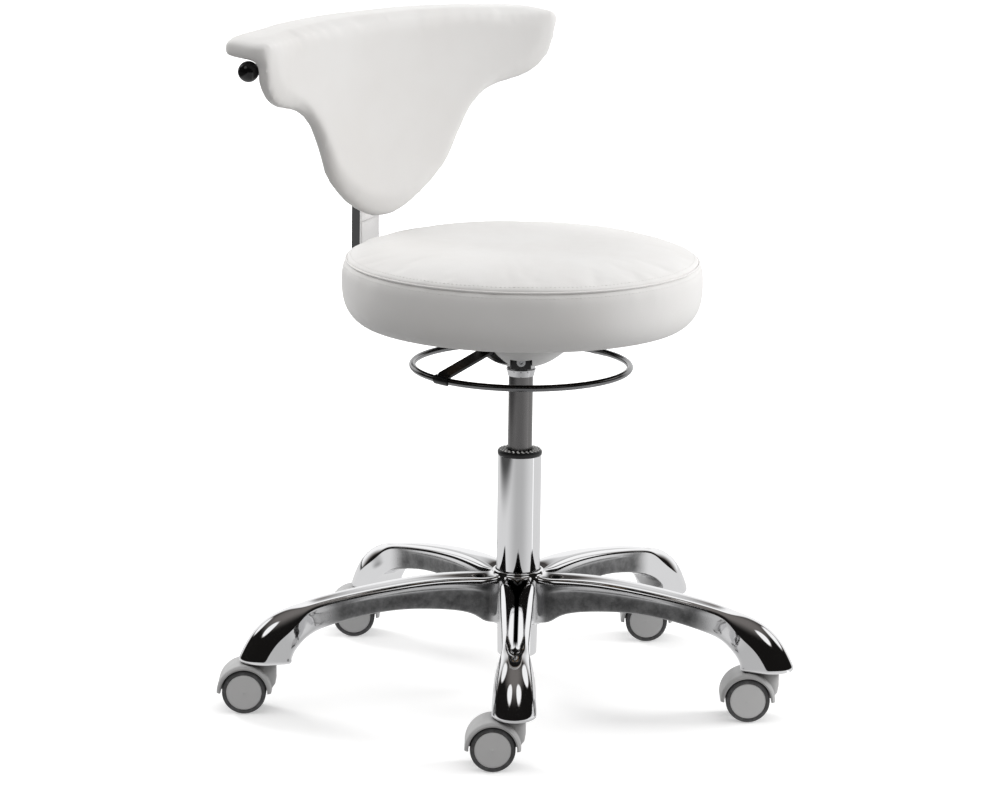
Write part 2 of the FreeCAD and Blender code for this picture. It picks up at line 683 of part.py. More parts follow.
def lever_point(x):
    """Point on the lock lever's curved centre line."""
    centre = back_centre()
    return Vector(x, centre.y + math.sqrt(LEVER_CURVE_RADIUS ** 2 - x ** 2), LEVER_Z)


def lever_rod():
    """Curved rod behind the wing, from its pivot eye to the ball knob."""
    start = lever_point(LEVER_PIVOT_BEHIND - 5)
    end = lever_point(KNOB_X + 5)
    arc = Part.Arc(start, lever_point((start.x + end.x) / 2), end)
    section = Part.Wire([Part.makeCircle(LEVER_ROD_RADIUS, start, arc.tangent(arc.FirstParameter)[0])])
    rod = Part.Wire([arc.toShape()]).makePipeShell([section], True, False)
    place = lever_point(LEVER_PIVOT_BEHIND)
    eye = disc(8.5, LEVER_Z - 7, LEVER_Z + 7, place.x, place.y)
    pivot_bore = disc(PIVOT_RADIUS + RUNNING_GAP, LEVER_Z - 10, LEVER_Z + 10, place.x, place.y)
    return rod.fuse(eye).cut(pivot_bore).removeSplitter()


def ball_knob():
    """Ball with a short neck, turned as one piece about the end of the lever's rod."""
    bore = LEVER_ROD_RADIUS + 4 * RUNNING_GAP
    depth = 4.8
    neck_start = math.sqrt(KNOB_RADIUS ** 2 - KNOB_NECK_RADIUS ** 2)
    side_angle = (math.pi / 2 + math.atan2(neck_start, KNOB_NECK_RADIUS)) / 2
    ball_side = Vector(KNOB_RADIUS * math.sin(side_angle), 0, -KNOB_RADIUS * math.cos(side_angle))
    ball = Part.Arc(Vector(0, 0, -KNOB_RADIUS), ball_side, Vector(KNOB_NECK_RADIUS, 0, neck_start))
    corners = [Vector(KNOB_NECK_RADIUS, 0, neck_start), Vector(KNOB_NECK_RADIUS, 0, KNOB_NECK_LENGTH),
               Vector(bore, 0, KNOB_NECK_LENGTH), Vector(bore, 0, depth), Vector(0, 0, depth),
               Vector(0, 0, -KNOB_RADIUS)]
    wire = Part.Wire([ball.toShape()] + Part.makePolygon(corners).Edges)
    knob = Part.Face(wire).revolve(Vector(0, 0, 0), Z, 360)
    centre = lever_point(KNOB_X)
    knob.Placement = Placement(centre, Rotation(Z, lever_point(KNOB_X + 5) - centre))
    return knob


# ---- Castors ----
def stem_position(number):
    angle = math.radians(FIRST_ARM_DEGREES + number * 360.0 / ARM_COUNT)
    return STEM_CIRCLE * math.cos(angle), STEM_CIRCLE * math.sin(angle)


def in_castor_place(shape, number):
    """Move a shape from the castor's own frame (stem on Z, trail along +X) to its arm."""
    x, y = stem_position(number)
    moved = turned(shape, CASTOR_TRAIL_DEGREES)
    moved.translate(Vector(x, y, 0))
    return moved


def castor_hood():
    """Arched cover over both wheels with a web between them and a boss for the stem."""
    width = HOOD_HALF_WIDTH
    arch = cross_rod(HOOD_RADIUS, width, CASTOR_TRAIL, WHEEL_RADIUS)
    edges = [edge for edge in arch.Edges if edge.Length > 100]
    arch = arch.makeFillet(2.5, edges)
    boss = disc(BOSS_RADIUS, HOOD_END_HEIGHT, BOSS_TOP)
    upper = block((-20, 60), (-width, width), (HOOD_END_HEIGHT, 60))
    body = arch.common(upper).fuse(boss)
    for side in (-1, 1):
        middle = side * (width + HOOD_WEB_HALF_WIDTH) / 2
        half = (width - HOOD_WEB_HALF_WIDTH) / 2
        body = body.cut(cross_rod(HOOD_INNER_RADIUS, half + 0.001, CASTOR_TRAIL, WHEEL_RADIUS, middle))
    body = body.cut(cross_rod(AXLE_RADIUS + SEATED_GAP, width, CASTOR_TRAIL, WHEEL_RADIUS))
    lower_boss = block((-20, 0), (-20, 20), (20, 30)).cut(
        cross_rod(HOOD_RADIUS, 20, CASTOR_TRAIL, WHEEL_RADIUS))
    axle_lug = cross_rod(8.0, HOOD_WEB_HALF_WIDTH, CASTOR_TRAIL, WHEEL_RADIUS)
    axle_lug = axle_lug.cut(cross_rod(AXLE_RADIUS + SEATED_GAP, width, CASTOR_TRAIL, WHEEL_RADIUS))
    stem_bore = disc(STEM_RADIUS + RUNNING_GAP, STEM_BOTTOM - 0.5, 60)
    return body.fuse(axle_lug).cut(lower_boss).cut(stem_bore).removeSplitter()


def castor_axle():
    return cross_rod(AXLE_RADIUS, AXLE_HALF_LENGTH, CASTOR_TRAIL, WHEEL_RADIUS)


def wheel_lathe(profile, side):
    """Wheel part from (radius, distance from the castor's middle) points."""
    solid = lathe(profile)
    turn = Placement(Vector(CASTOR_TRAIL, 0, WHEEL_RADIUS), Rotation(X, -90 * side))
    solid.Placement = turn
    return solid


def castor_wheel(side):
    """Wheel centre with a closed outer disc, a rim and a hub for the axle."""
    inner = WHEEL_INNER_FACE
    outer = WHEEL_OUTER_FACE
    rim = TYRE_INNER_RADIUS - SEATED_GAP
    bore = AXLE_RADIUS + RUNNING_GAP
    return wheel_lathe([(bore, inner), (7, inner), (7, outer - 4), (rim - 2.5, outer - 4),
                        (rim - 2.5, inner + 1), (rim, inner + 1), (rim, outer - 0.8),
                        (rim - 0.8, outer), (0, outer + 0.6), (0, AXLE_HALF_LENGTH + 0.2),
                        (bore, AXLE_HALF_LENGTH + 0.2)], side)


def castor_tyre(side):
    inner = WHEEL_INNER_FACE
    outer = WHEEL_OUTER_FACE
    edge = 2.0
    return wheel_lathe([(TYRE_INNER_RADIUS, inner), (WHEEL_RADIUS - edge, inner),
                        (WHEEL_RADIUS, inner + edge), (WHEEL_RADIUS, outer - edge),
                        (WHEEL_RADIUS - edge, outer), (TYRE_INNER_RADIUS, outer)], side)


# ---- Export ----
def write_node(name, shape):
    placed = shape.copy()
    placed.translate(Vector(0, 0, -SEAT_TOP))
    placed.exportStep("parts/" + name + ".step")


def write_castors():
    hood = castor_hood()
    axle = castor_axle()
    for number in range(ARM_COUNT):
        prefix = "castor_%d_" % (number + 1)
        write_node(prefix + "hood", in_castor_place(hood, number))
        write_node(prefix + "axle", in_castor_place(axle, number))
        for side, label in ((1, "left"), (-1, "right")):
            write_node(prefix + "wheel_" + label, in_castor_place(castor_wheel(side), number))
            write_node(prefix + "tyre_" + label, in_castor_place(castor_tyre(side), number))


def main():
    os.makedirs("parts", exist_ok=True)
    builders = (
        star_base, castor_stems, column_tube, guide_bush, thrust_bearing, piston_rod,
        piston_head, pressure_tube, rod_seal, release_pin, cone_socket,
        mechanism_plate, mechanism_cover, plate_screws, bar_screws, lever_pin, clamp_block,
        clamp_screw, release_ring, ring_arms, seat_board, seat_cushion, backrest_bar,
        slide_block, backrest_shell, backrest_pad, rim_pad, shell_screws, lever_rod, ball_knob,
    )
    for builder in builders:
        write_node(builder.__name__, builder())
    write_castors()


main()
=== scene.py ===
import json
import math

import bmesh
import bpy
from mathutils import Matrix, Vector, kdtree, noise


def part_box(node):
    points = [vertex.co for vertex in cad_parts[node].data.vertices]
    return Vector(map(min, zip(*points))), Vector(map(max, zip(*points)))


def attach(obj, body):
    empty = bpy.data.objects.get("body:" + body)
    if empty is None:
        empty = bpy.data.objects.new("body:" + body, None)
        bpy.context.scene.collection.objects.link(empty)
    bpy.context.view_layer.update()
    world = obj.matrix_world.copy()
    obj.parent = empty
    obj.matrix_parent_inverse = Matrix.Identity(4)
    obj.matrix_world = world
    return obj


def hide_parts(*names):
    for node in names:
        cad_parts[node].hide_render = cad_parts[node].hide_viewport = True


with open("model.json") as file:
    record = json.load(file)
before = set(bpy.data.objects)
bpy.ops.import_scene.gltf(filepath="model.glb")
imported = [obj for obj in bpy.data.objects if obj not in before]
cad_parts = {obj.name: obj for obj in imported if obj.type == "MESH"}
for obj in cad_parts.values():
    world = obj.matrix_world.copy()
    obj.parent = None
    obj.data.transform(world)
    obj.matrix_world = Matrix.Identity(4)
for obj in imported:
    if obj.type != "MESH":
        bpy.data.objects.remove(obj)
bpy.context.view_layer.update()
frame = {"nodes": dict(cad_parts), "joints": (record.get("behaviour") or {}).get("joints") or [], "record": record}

NODES = frame["nodes"]
JOINTS = {joint["name"]: joint for joint in frame["joints"]}
FLOOR = min(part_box(name)[0].z for name in NODES)
MM = 0.001
ROUND_STEPS = 128
CASTORS = 5


# ---------------------------------------------------------------- places read from the frame
def centre(node):
    low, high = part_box(node)
    return (low + high) / 2


def joint_place(name):
    return Vector(JOINTS[name]["pos_m"])


def height(millimetres):
    """Height above the floor, in millimetres, as a z in the frame."""
    return FLOOR + millimetres * MM


# ---------------------------------------------------------------- node material helpers
def new_material(name):
    material = bpy.data.materials.new(name)
    material.use_nodes = True
    tree = material.node_tree
    return material, tree, tree.nodes["Principled BSDF"]


def feed(tree, node, **inputs):
    """Set a node's inputs by name: outputs of other nodes are linked, plain values written."""
    for key, value in inputs.items():
        socket = node.inputs[key.replace("_", " ")]
        if isinstance(value, bpy.types.NodeSocket):
            tree.links.new(value, socket)
        else:
            socket.default_value = value


def add_node(tree, kind, **inputs):
    node = tree.nodes.new(kind)
    feed(tree, node, **inputs)
    return node


def object_coordinates(tree, scale=(1, 1, 1)):
    source = tree.nodes.new("ShaderNodeTexCoord").outputs["Object"]
    return add_node(tree, "ShaderNodeMapping", Vector=source, Scale=scale).outputs["Vector"]


def noise_value(tree, vector, scale, detail=4.0, roughness=0.55):
    return add_node(tree, "ShaderNodeTexNoise", Vector=vector, Scale=scale, Detail=detail,
                    Roughness=roughness).outputs["Fac"]


def map_range(tree, value, low, high, out_low, out_high):
    return add_node(tree, "ShaderNodeMapRange", Value=value, From_Min=low, From_Max=high,
                    To_Min=out_low, To_Max=out_high).outputs["Result"]


def smooth_step(tree, value, low, high, out_low=0.0, out_high=1.0):
    result = map_range(tree, value, low, high, out_low, out_high)
    result.node.interpolation_type = "SMOOTHSTEP"
    return result


def mix_colour(tree, factor, first, second):
    node = tree.nodes.new("ShaderNodeMix")
    node.data_type = "RGBA"
    tree.links.new(factor, node.inputs["Factor"])
    for socket, colour in ((node.inputs[6], first), (node.inputs[7], second)):
        if isinstance(colour, bpy.types.NodeSocket):
            tree.links.new(colour, socket)
        else:
            socket.default_value = (*colour, 1)
    return node.outputs[2]


def scale_colour(tree, colour, factor):
    node = tree.nodes.new("ShaderNodeVectorMath")
    node.operation = "SCALE"
    tree.links.new(colour, node.inputs[0])
    tree.links.new(factor, node.inputs["Scale"])
    return node.outputs[0]


def add_bump(tree, shader, value, strength, distance, previous=None):
    node = add_node(tree, "ShaderNodeBump", Strength=strength, Distance=distance, Height=value)
    if previous is not None:
        tree.links.new(previous, node.inputs["Normal"])
    tree.links.new(node.outputs["Normal"], shader.inputs["Normal"])
    return node.outputs["Normal"]


def maths(tree, operation, first, second):
    node = tree.nodes.new("ShaderNodeMath")
    node.operation = operation
    for socket, value in zip(node.inputs, (first, second)):
        if isinstance(value, bpy.types.NodeSocket):
            tree.links.new(value, socket)
        else:
            socket.default_value = value
    return node.outputs[0]


def dot_with(tree, vector, direction):
    node = tree.nodes.new("ShaderNodeVectorMath")
    node.operation = "DOT_PRODUCT"
    tree.links.new(vector, node.inputs[0])
    node.inputs[1].default_value = direction
    return node.outputs["Value"]


def leatherette(name, colour, soil):
    """Coated upholstery cloth: pebbled grain, faint creases, soft sheen."""
    material, tree, shader = new_material(name)
    place = object_coordinates(tree)
    tint = map_range(tree, noise_value(tree, place, 9.0, 3.0), 0.35, 0.65, 0.0, 1.0)
    cells = add_node(tree, "ShaderNodeTexVoronoi", Vector=place, Scale=900.0)
    cells.feature = "SMOOTH_F1"
    grain = map_range(tree, cells.outputs["Distance"], 0.0, 0.8, 1.0, 0.0)
    first = add_bump(tree, shader, grain, 0.22, 0.00022)
    creases = noise_value(tree, place, 140.0, 6.0, 0.7)
    second = add_bump(tree, shader, creases, 0.10, 0.0006, first)
    add_bump(tree, shader, noise_value(tree, place, 22.0, 3.0), 0.10, 0.0030, second)
    wear = map_range(tree, noise_value(tree, place, 60.0, 5.0), 0.3, 0.7, 0.36, 0.50)
    feed(tree, shader, Base_Color=mix_colour(tree, tint, colour, soil), Roughness=wear,
         Specular_IOR_Level=0.42, Sheen_Weight=0.06)
    return material


def recess_shade(tree, reach, low, high, darkest):
    """Factor that darkens recesses by ambient occlusion: painted shade in corners."""
    node = add_node(tree, "ShaderNodeAmbientOcclusion", Distance=reach)
    node.samples = 6
    return smooth_step(tree, node.outputs["AO"], low, high, darkest, 1.0)


def metal(name, colour, roughness, streak=(1, 1, 1), streak_scale=300.0, bump=0.03):
    """Metal with fine polishing marks along one direction and faint smudges."""
    material, tree, shader = new_material(name)
    place = object_coordinates(tree)
    marks = noise_value(tree, object_coordinates(tree, streak), streak_scale, 5.0, 0.6)
    smudge = noise_value(tree, place, 18.0, 4.0)
    dimmer = tuple(0.94 * part for part in colour)
    joined = maths(tree, "MULTIPLY", marks, smudge)
    finish = map_range(tree, joined, 0.12, 0.40, roughness * 0.7, roughness * 1.5)
    feed(tree, shader, Base_Color=mix_colour(tree, smudge, dimmer, colour), Metallic=1.0,
         Roughness=finish)
    add_bump(tree, shader, marks, bump, 0.00005)
    return material


def polished_casting(name):
    """Polished aluminium whose webs are left as cast, with painted shade darkening its valleys and recesses."""
    material, tree, shader = new_material(name)
    place = object_coordinates(tree)
    cast, painted_valley_shade = (tree.nodes.new("ShaderNodeAttribute") for _ in range(2))
    cast.attribute_name = "cast"
    painted_valley_shade.attribute_name = "painted_valley_shade"
    cast = cast.outputs["Fac"]
    marks = noise_value(tree, object_coordinates(tree, (1, 1, 4)), 300.0, 5.0, 0.6)
    mottle = map_range(tree, noise_value(tree, place, 70.0, 6.0, 0.7), 0.35, 0.65, 0.0, 1.0)
    bright = mix_colour(tree, noise_value(tree, place, 18.0, 4.0), (0.80, 0.80, 0.81), (0.87, 0.87, 0.88))
    dull = mix_colour(tree, mottle, (0.12, 0.12, 0.122), (0.26, 0.26, 0.262))
    # Painted shade: ambient occlusion darkens recesses and a point attribute darkens the valleys, in both colour
    # and specular tint.
    recess = recess_shade(tree, 0.020, 0.30, 0.68, 0.03)
    shade = maths(tree, "MULTIPLY", recess, painted_valley_shade.outputs["Fac"])
    colour = scale_colour(tree, mix_colour(tree, cast, bright, dull), shade)
    smooth = map_range(tree, marks, 0.30, 0.70, 0.04, 0.08)
    rough = map_range(tree, cast, 0.0, 1.0, 0.0, 0.36)
    feed(tree, shader, Base_Color=colour, Metallic=1.0, Specular_Tint=shade,
         Roughness=maths(tree, "ADD", smooth, rough))
    first = add_bump(tree, shader, marks, 0.03, 0.00005)
    grains = maths(tree, "MULTIPLY", noise_value(tree, place, 420.0, 5.0, 0.6), cast)
    add_bump(tree, shader, grains, 0.5, 0.0004, first)
    return material


def plastic(name, colour, roughness, grain=0.10, grain_scale=1600.0):
    """Moulded plastic: fine spark-eroded grain and slight colour drift."""
    material, tree, shader = new_material(name)
    place = object_coordinates(tree)
    drift = noise_value(tree, place, 30.0, 3.0)
    darker = tuple(0.90 * part for part in colour)
    scuffs = noise_value(tree, place, 90.0, 6.0, 0.7)
    feed(tree, shader, Base_Color=mix_colour(tree, drift, darker, colour),
         Roughness=map_range(tree, scuffs, 0.3, 0.75, roughness * 0.8, roughness * 1.25))
    add_bump(tree, shader, noise_value(tree, place, grain_scale, 3.0), grain, 0.0001)
    return material


def rubber(name, colour):
    """Soft tyre tread: dull, with dusty patches."""
    material, tree, shader = new_material(name)
    place = object_coordinates(tree)
    dust = map_range(tree, noise_value(tree, place, 120.0, 6.0, 0.7), 0.45, 0.75, 0.0, 1.0)
    dusty = tuple(min(1.0, part * 1.7 + 0.02) for part in colour)
    feed(tree, shader, Base_Color=mix_colour(tree, dust, colour, dusty), Roughness=0.62)
    add_bump(tree, shader, noise_value(tree, place, 700.0, 4.0), 0.15, 0.0002)
    return material


def plywood(name):
    """Birch plywood: long figure on the faces, layers shown on the edge."""
    material, tree, shader = new_material(name)
    layers = add_node(tree, "ShaderNodeTexWave", Vector=object_coordinates(tree), Scale=110.0,
                      Distortion=1.2, Detail=2.0)
    layers.bands_direction = "Z"
    figure = noise_value(tree, object_coordinates(tree, (1, 14, 14)), 14.0, 6.0, 0.65)
    joined = maths(tree, "MULTIPLY", layers.outputs["Fac"], figure)
    share = map_range(tree, joined, 0.1, 0.6, 0.0, 1.0)
    feed(tree, shader, Base_Color=mix_colour(tree, share, (0.42, 0.27, 0.14), (0.66, 0.48, 0.29)),
         Roughness=0.55)
    add_bump(tree, shader, figure, 0.15, 0.0003)
    return material


def make_materials():
    """Every material of the stool by name; most names are slots of the CAD nodes."""
    return {
        "white_leatherette": leatherette("white_leatherette", (0.85, 0.842, 0.830), (0.825, 0.812, 0.796)),
        "thread": plastic("thread", (0.85, 0.84, 0.82), 0.6, 0.3, 2500.0),
        "polished_aluminium": polished_casting("polished_aluminium"),
        "chrome": metal("chrome", (0.84, 0.84, 0.85), 0.05, (6, 6, 1), 240.0, 0.02),
        "bright_steel": metal("bright_steel", (0.62, 0.62, 0.63), 0.14, (1, 1, 8)),
        "ring_steel": metal("ring_steel", (0.21, 0.21, 0.215), 0.17, (1, 1, 8)),
        "dark_steel": metal("dark_steel", (0.20, 0.195, 0.195), 0.20, (14, 14, 0.6), 220.0, 0.25),
        "zinc_steel": metal("zinc_steel", (0.58, 0.59, 0.60), 0.30),
        "black_painted": plastic("black_painted", (0.012, 0.012, 0.013), 0.30, 0.08, 500.0),
        "black_plastic": plastic("black_plastic", (0.014, 0.014, 0.015), 0.42),
        "gloss_black": plastic("gloss_black", (0.006, 0.006, 0.006), 0.16, 0.03),
        "white_plastic": plastic("white_plastic", (0.86, 0.86, 0.85), 0.36),
        "hood_grey": plastic("hood_grey", (0.50, 0.50, 0.50), 0.40),
        "wheel_grey": plastic("wheel_grey", (0.80, 0.80, 0.80), 0.42),
        "dust_cloth": plastic("dust_cloth", (0.016, 0.016, 0.017), 0.85, 0.5, 1400.0),
        "tyre_grey": rubber("tyre_grey", (0.085, 0.085, 0.087)),
        "plywood": plywood("plywood"),
    }


MATERIALS = make_materials()


# ---------------------------------------------------------------- mesh helpers
def mark_smooth(mesh, sharp_degrees=40.0):
    """Smooth shading with sharp edges where faces meet at more than the given angle."""
    editable = bmesh.new()
    editable.from_mesh(mesh)
    limit = math.radians(sharp_degrees)
    for face in editable.faces:
        face.smooth = True
    for edge in editable.edges:
        edge.smooth = len(edge.link_faces) != 2 or edge.calc_face_angle(0.0) < limit
    editable.to_mesh(mesh)
    editable.free()


def mesh_from(name, editable, sharp_degrees=40.0):
    bmesh.ops.recalc_face_normals(editable, faces=editable.faces)
    mesh = bpy.data.meshes.new(name)
    editable.to_mesh(mesh)
    editable.free()
    mark_smooth(mesh, sharp_degrees)
    return mesh


def new_object(name, data):
    thing = bpy.data.objects.new(name, data)
    bpy.context.scene.collection.objects.link(thing)
    return thing


def stand_for(piece, body, nodes=()):
    """Let a piece ride on a body, in place of CAD nodes."""
    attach(piece, body)
    if nodes:
        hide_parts(*nodes)


def add_piece(name, mesh, body, slot, nodes=(), material=None, place=None):
    """Put a mesh in the scene as a piece that rides on a body and stands for CAD nodes."""
    piece = new_object(name, mesh)
    if place is not None:
        piece.matrix_world = place
    if not mesh.materials:
        mesh.materials.append(MATERIALS[material or slot])
    stand_for(piece, body, nodes)
    return piece


def body_of_node(node):
    for body, members in frame["record"]["behaviour"]["bodies"].items():
        if node in members:
            return body


def slot_of_node(node):
    for part in frame["record"]["subparts"]:
        if part["node"] == node:
            return part["material_slot"]


def rounded(outline, radius, steps=4):
    """Outline with each of its corners turned into an arc."""
    result = []
    count = len(outline)
    for index, corner in enumerate(outline):
        here = Vector(corner)
        before = Vector(outline[index - 1]) - here
        after = Vector(outline[(index + 1) % count]) - here
        size = min(radius, before.length * 0.45, after.length * 0.45)
        if size < 1e-6 or here.x < 1e-6:
            result.append(tuple(here))
            continue
        start = here + before.normalized() * size
        end = here + after.normalized() * size
        for step in range(steps + 1):
            t = step / steps
            point = start * (1 - t) ** 2 + here * 2 * t * (1 - t) + end * t ** 2
            result.append(tuple(point))
    return result


def polar(radius, angle, z=0.0):
    return Vector((radius * math.cos(angle), radius * math.sin(angle), z))


def full_turn(steps):
    return [2 * math.pi * step / steps for step in range(steps)]


def bridge(editable, first, second):
    """Quads between two loops with the same number of vertices."""
    for index in range(len(first)):
        after = (index + 1) % len(first)
        editable.faces.new((first[index], first[after], second[after], second[index]))


def skin(editable, rows, closed=False, capped=True):
    """Faces through rows of points, each row a loop; the ends are joined, capped or left open."""
    loops = [[editable.verts.new(point) for point in row] for row in rows]
    for first, second in zip(loops, loops[1:] + loops[:1] if closed else loops[1:]):
        bridge(editable, first, second)
    if capped and not closed:
        editable.faces.new(loops[0][::-1])
        editable.faces.new(loops[-1])


def lathe_bmesh(outline, steps=ROUND_STEPS):
    """Closed solid of revolution about Z; outline is a closed loop of (radius, z) in metres."""
    editable = bmesh.new()
    rings = []
    for radius, z in outline:
        angles = full_turn(steps) if radius > 1e-7 else [0.0]
        rings.append([editable.verts.new(polar(radius, angle, z)) for angle in angles])
    for first, second in zip(rings, rings[1:] + rings[:1]):
        if len(first) == 1 and len(second) == 1:
            continue
        for step in range(steps):
            after = (step + 1) % steps
            corners = (first[step % len(first)], first[after % len(first)],
                       second[after % len(second)], second[step % len(second)])
            editable.faces.new(list(dict.fromkeys(corners)))
    return editable


def lathe_piece(name, outline, node, radius=0.4, steps=ROUND_STEPS, material=None):
    """Turned piece about the column's axis from (radius, height) in millimetres above the floor."""
    points = [(r * MM, height(h)) for r, h in outline]
    mesh = mesh_from(name, lathe_bmesh(rounded(points, radius * MM), steps))
    return add_piece(name, mesh, body_of_node(node), slot_of_node(node), (node,), material)


def tube_along(name, points, radius, body, slot, material, around=10, nodes=()):
    """Round cord swept along a level closed path of points."""
    editable = bmesh.new()
    rows = []
    for index, point in enumerate(points):
        direction = (points[(index + 1) % len(points)] - points[index - 1]).normalized()
        side = direction.cross(Vector((0, 0, 1))).normalized()
        up = side.cross(direction)
        rows.append([point + (side * math.cos(angle) + up * math.sin(angle)) * radius
                     for angle in full_turn(around)])
    skin(editable, rows, closed=True)
    add_piece(name, mesh_from(name, editable, 180), body, slot, nodes, material)


def apply_modifiers(piece):
    """Replace a piece's mesh with its evaluated mesh."""
    depsgraph = bpy.context.evaluated_depsgraph_get()
    evaluated = piece.evaluated_get(depsgraph)
    mesh = bpy.data.meshes.new_from_object(evaluated, depsgraph=depsgraph)
    piece.modifiers.clear()
    piece.data = mesh


def subdivide(piece, levels):
    modifier = piece.modifiers.new("subdivide", "SUBSURF")
    modifier.levels = levels
    modifier.render_levels = levels
    apply_modifiers(piece)
    for face in piece.data.polygons:
        face.use_smooth = True


# ---------------------------------------------------------------- star base
ARM_COLUMNS = 7
ARM_SIDES = 4
COLUMN_SHARES = (-1.0, -0.70, -0.24, 0.0, 0.24, 0.70, 1.0)
WEB_LEVELS = ((0.28, 0.0), (0.36, 1.0), (0.62, 1.0), (0.88, 0.85))
GROOVE_END = 8
HUB_WALL = 31.0
HUB_TOP = 140.5
HUB_BOTTOM = 86.5
OPENING_HALF_ANGLE = math.radians(29.5)
FOOT_START = 242.0
FOOT_BLEND = 46.0
WEB_REACH = 246.0


def arm_stations():
    """Sections along an arm: ridge point, underside point, width, groove depth, web inset; mm."""
    return (
        ((45, 142.0), (44, 88.0), 41.0, 9.0, 4.0),
        ((56, 143.0), (54, 97.5), 41.0, 6.5, 4.5),
        ((72, 143.6), (72, 103.5), 40.5, 5.4, 5.0),
        ((98, 143.8), (100, 107.0), 39.0, 4.2, 5.0),
        ((134, 141.0), (136, 109.5), 37.0, 3.2, 4.5),
        ((174, 136.0), (171, 107.5), 34.5, 2.8, 3.4),
        ((213, 129.8), (205, 101.5), 31.5, 2.8, 1.8),
        ((238, 124.8), (229, 95.5), 30.2, 3.0, 0.8),
        ((250, 122.0), (239, 92.5), 30.4, 2.8, 0.3),
        ((260, 119.8), (247, 89.4), 33.0, 1.4, 0.0),
        ((273, 117.0), (255, 85.4), 38.5, 0.0, 0.0),
        ((291, 110.2), (263.4, 78.6), 44.4, 0.0, 0.0),
        ((308, 98.0), (269.7, 71.5), 47.0, 0.0, 0.0),
        ((319.5, 82.5), (272.5, 65.5), 48.0, 0.0, 0.0),
        ((327.0, 68.0), (273.8, 61.5), 48.8, 0.0, 0.0),
        ((330.4, 60.6), (273.4, 59.0), 49.4, 0.0, 0.0),
        ((329.6, 57.4), (274.4, 57.4), 48.6, 0.0, 0.0),
    )


def ease(value, low, high):
    share = min(1.0, max(0.0, (value - low) / (high - low)))
    return share * share * (3 - 2 * share)


def section_points(ridge, under, width, groove, inset):
    """Loop of points round an arm section: top left to right, down, bottom back, up."""
    top = Vector((ridge[0], 0, ridge[1]))
    low = Vector((under[0], 0, under[1]))
    down = low - top
    depth = down.length
    down.normalize()
    side = Vector((0, 1, 0))
    half = width / 2
    full = ease(ridge[0], FOOT_START, FOOT_START + FOOT_BLEND)
    lip = 0.05 * width + 1.6
    bulge = width * 0.46
    grooved = (lip, 0.0, groove * 0.70, groove, groove * 0.70, 0.0, lip)
    domed = [bulge * (1 - math.sqrt(max(0.0, 1 - share * share))) for share in COLUMN_SHARES]
    drops = [flat * (1 - full) + dome * full for flat, dome in zip(grooved, domed)]
    edge = drops[0]

    def at(across, drop):
        return top + side * across + down * drop

    upper = [at(half * share, drop) for share, drop in zip(COLUMN_SHARES, drops)]
    levels = [(max(share, (edge + 2) / depth + 0.05 * step), pull)
              for step, (share, pull) in enumerate(WEB_LEVELS)]
    right = [at(half - inset * pull, depth * share) for share, pull in levels]
    bottom_half = half - inset * 0.7
    shares = [share * (bottom_half - 1.5) for share in reversed(COLUMN_SHARES)]
    lower = [at(across, depth) for across in shares]
    left = [at(-half + inset * pull, depth * share) for share, pull in reversed(levels)]
    return upper + right + lower + left


def hub_opening():
    """The same loop laid on the hub's wall, where an arm starts."""
    def at(share, z):
        return polar(HUB_WALL, OPENING_HALF_ANGLE * share, z)

    depth = HUB_TOP - HUB_BOTTOM
    levels = [HUB_TOP - depth * share for share, _ in WEB_LEVELS]
    upper = [at(share, HUB_TOP) for share in COLUMN_SHARES]
    right = [at(1, level) for level in levels]
    lower = [at(share, HUB_BOTTOM) for share in reversed(COLUMN_SHARES)]
    left = [at(-1, level) for level in reversed(levels)]
    return upper + right + lower + left


def star_base():
    """Cast and polished five-arm base with grooved arms, recessed webs and bell feet."""
    editable = bmesh.new()
    crease = editable.edges.layers.float.new("crease_edge")
    turns = 360.0 / CASTORS
    first_place = joint_place("swivel_1")
    first_angle = math.atan2(first_place.y, first_place.x)
    middle_column = ARM_COLUMNS // 2
    openings = []
    for arm in range(CASTORS):
        spin = Matrix.Rotation(first_angle + math.radians(turns * arm), 3, "Z")

        def place(points):
            return [editable.verts.new(spin @ (p * MM) + Vector((0, 0, FLOOR))) for p in points]

        opening = place(hub_opening())
        openings.append(opening)
        previous = opening
        for number, station in enumerate(arm_stations()):
            loop = place(section_points(*station))
            bridge(editable, previous, loop)
            if number <= GROOVE_END:
                valley = editable.edges.get((previous[middle_column], loop[middle_column]))
                valley[crease] = 0.6
            previous = loop
        close_foot(editable, previous)
    close_hub(editable, openings)
    mesh = mesh_from("base_casting", editable, 180)
    mesh.materials.append(MATERIALS["polished_aluminium"])
    piece = add_piece("base_casting", mesh, "base", "polished_aluminium", ("star_base",))
    subdivide(piece, 3)
    mark_finish_and_shade(piece, first_angle)
    return piece


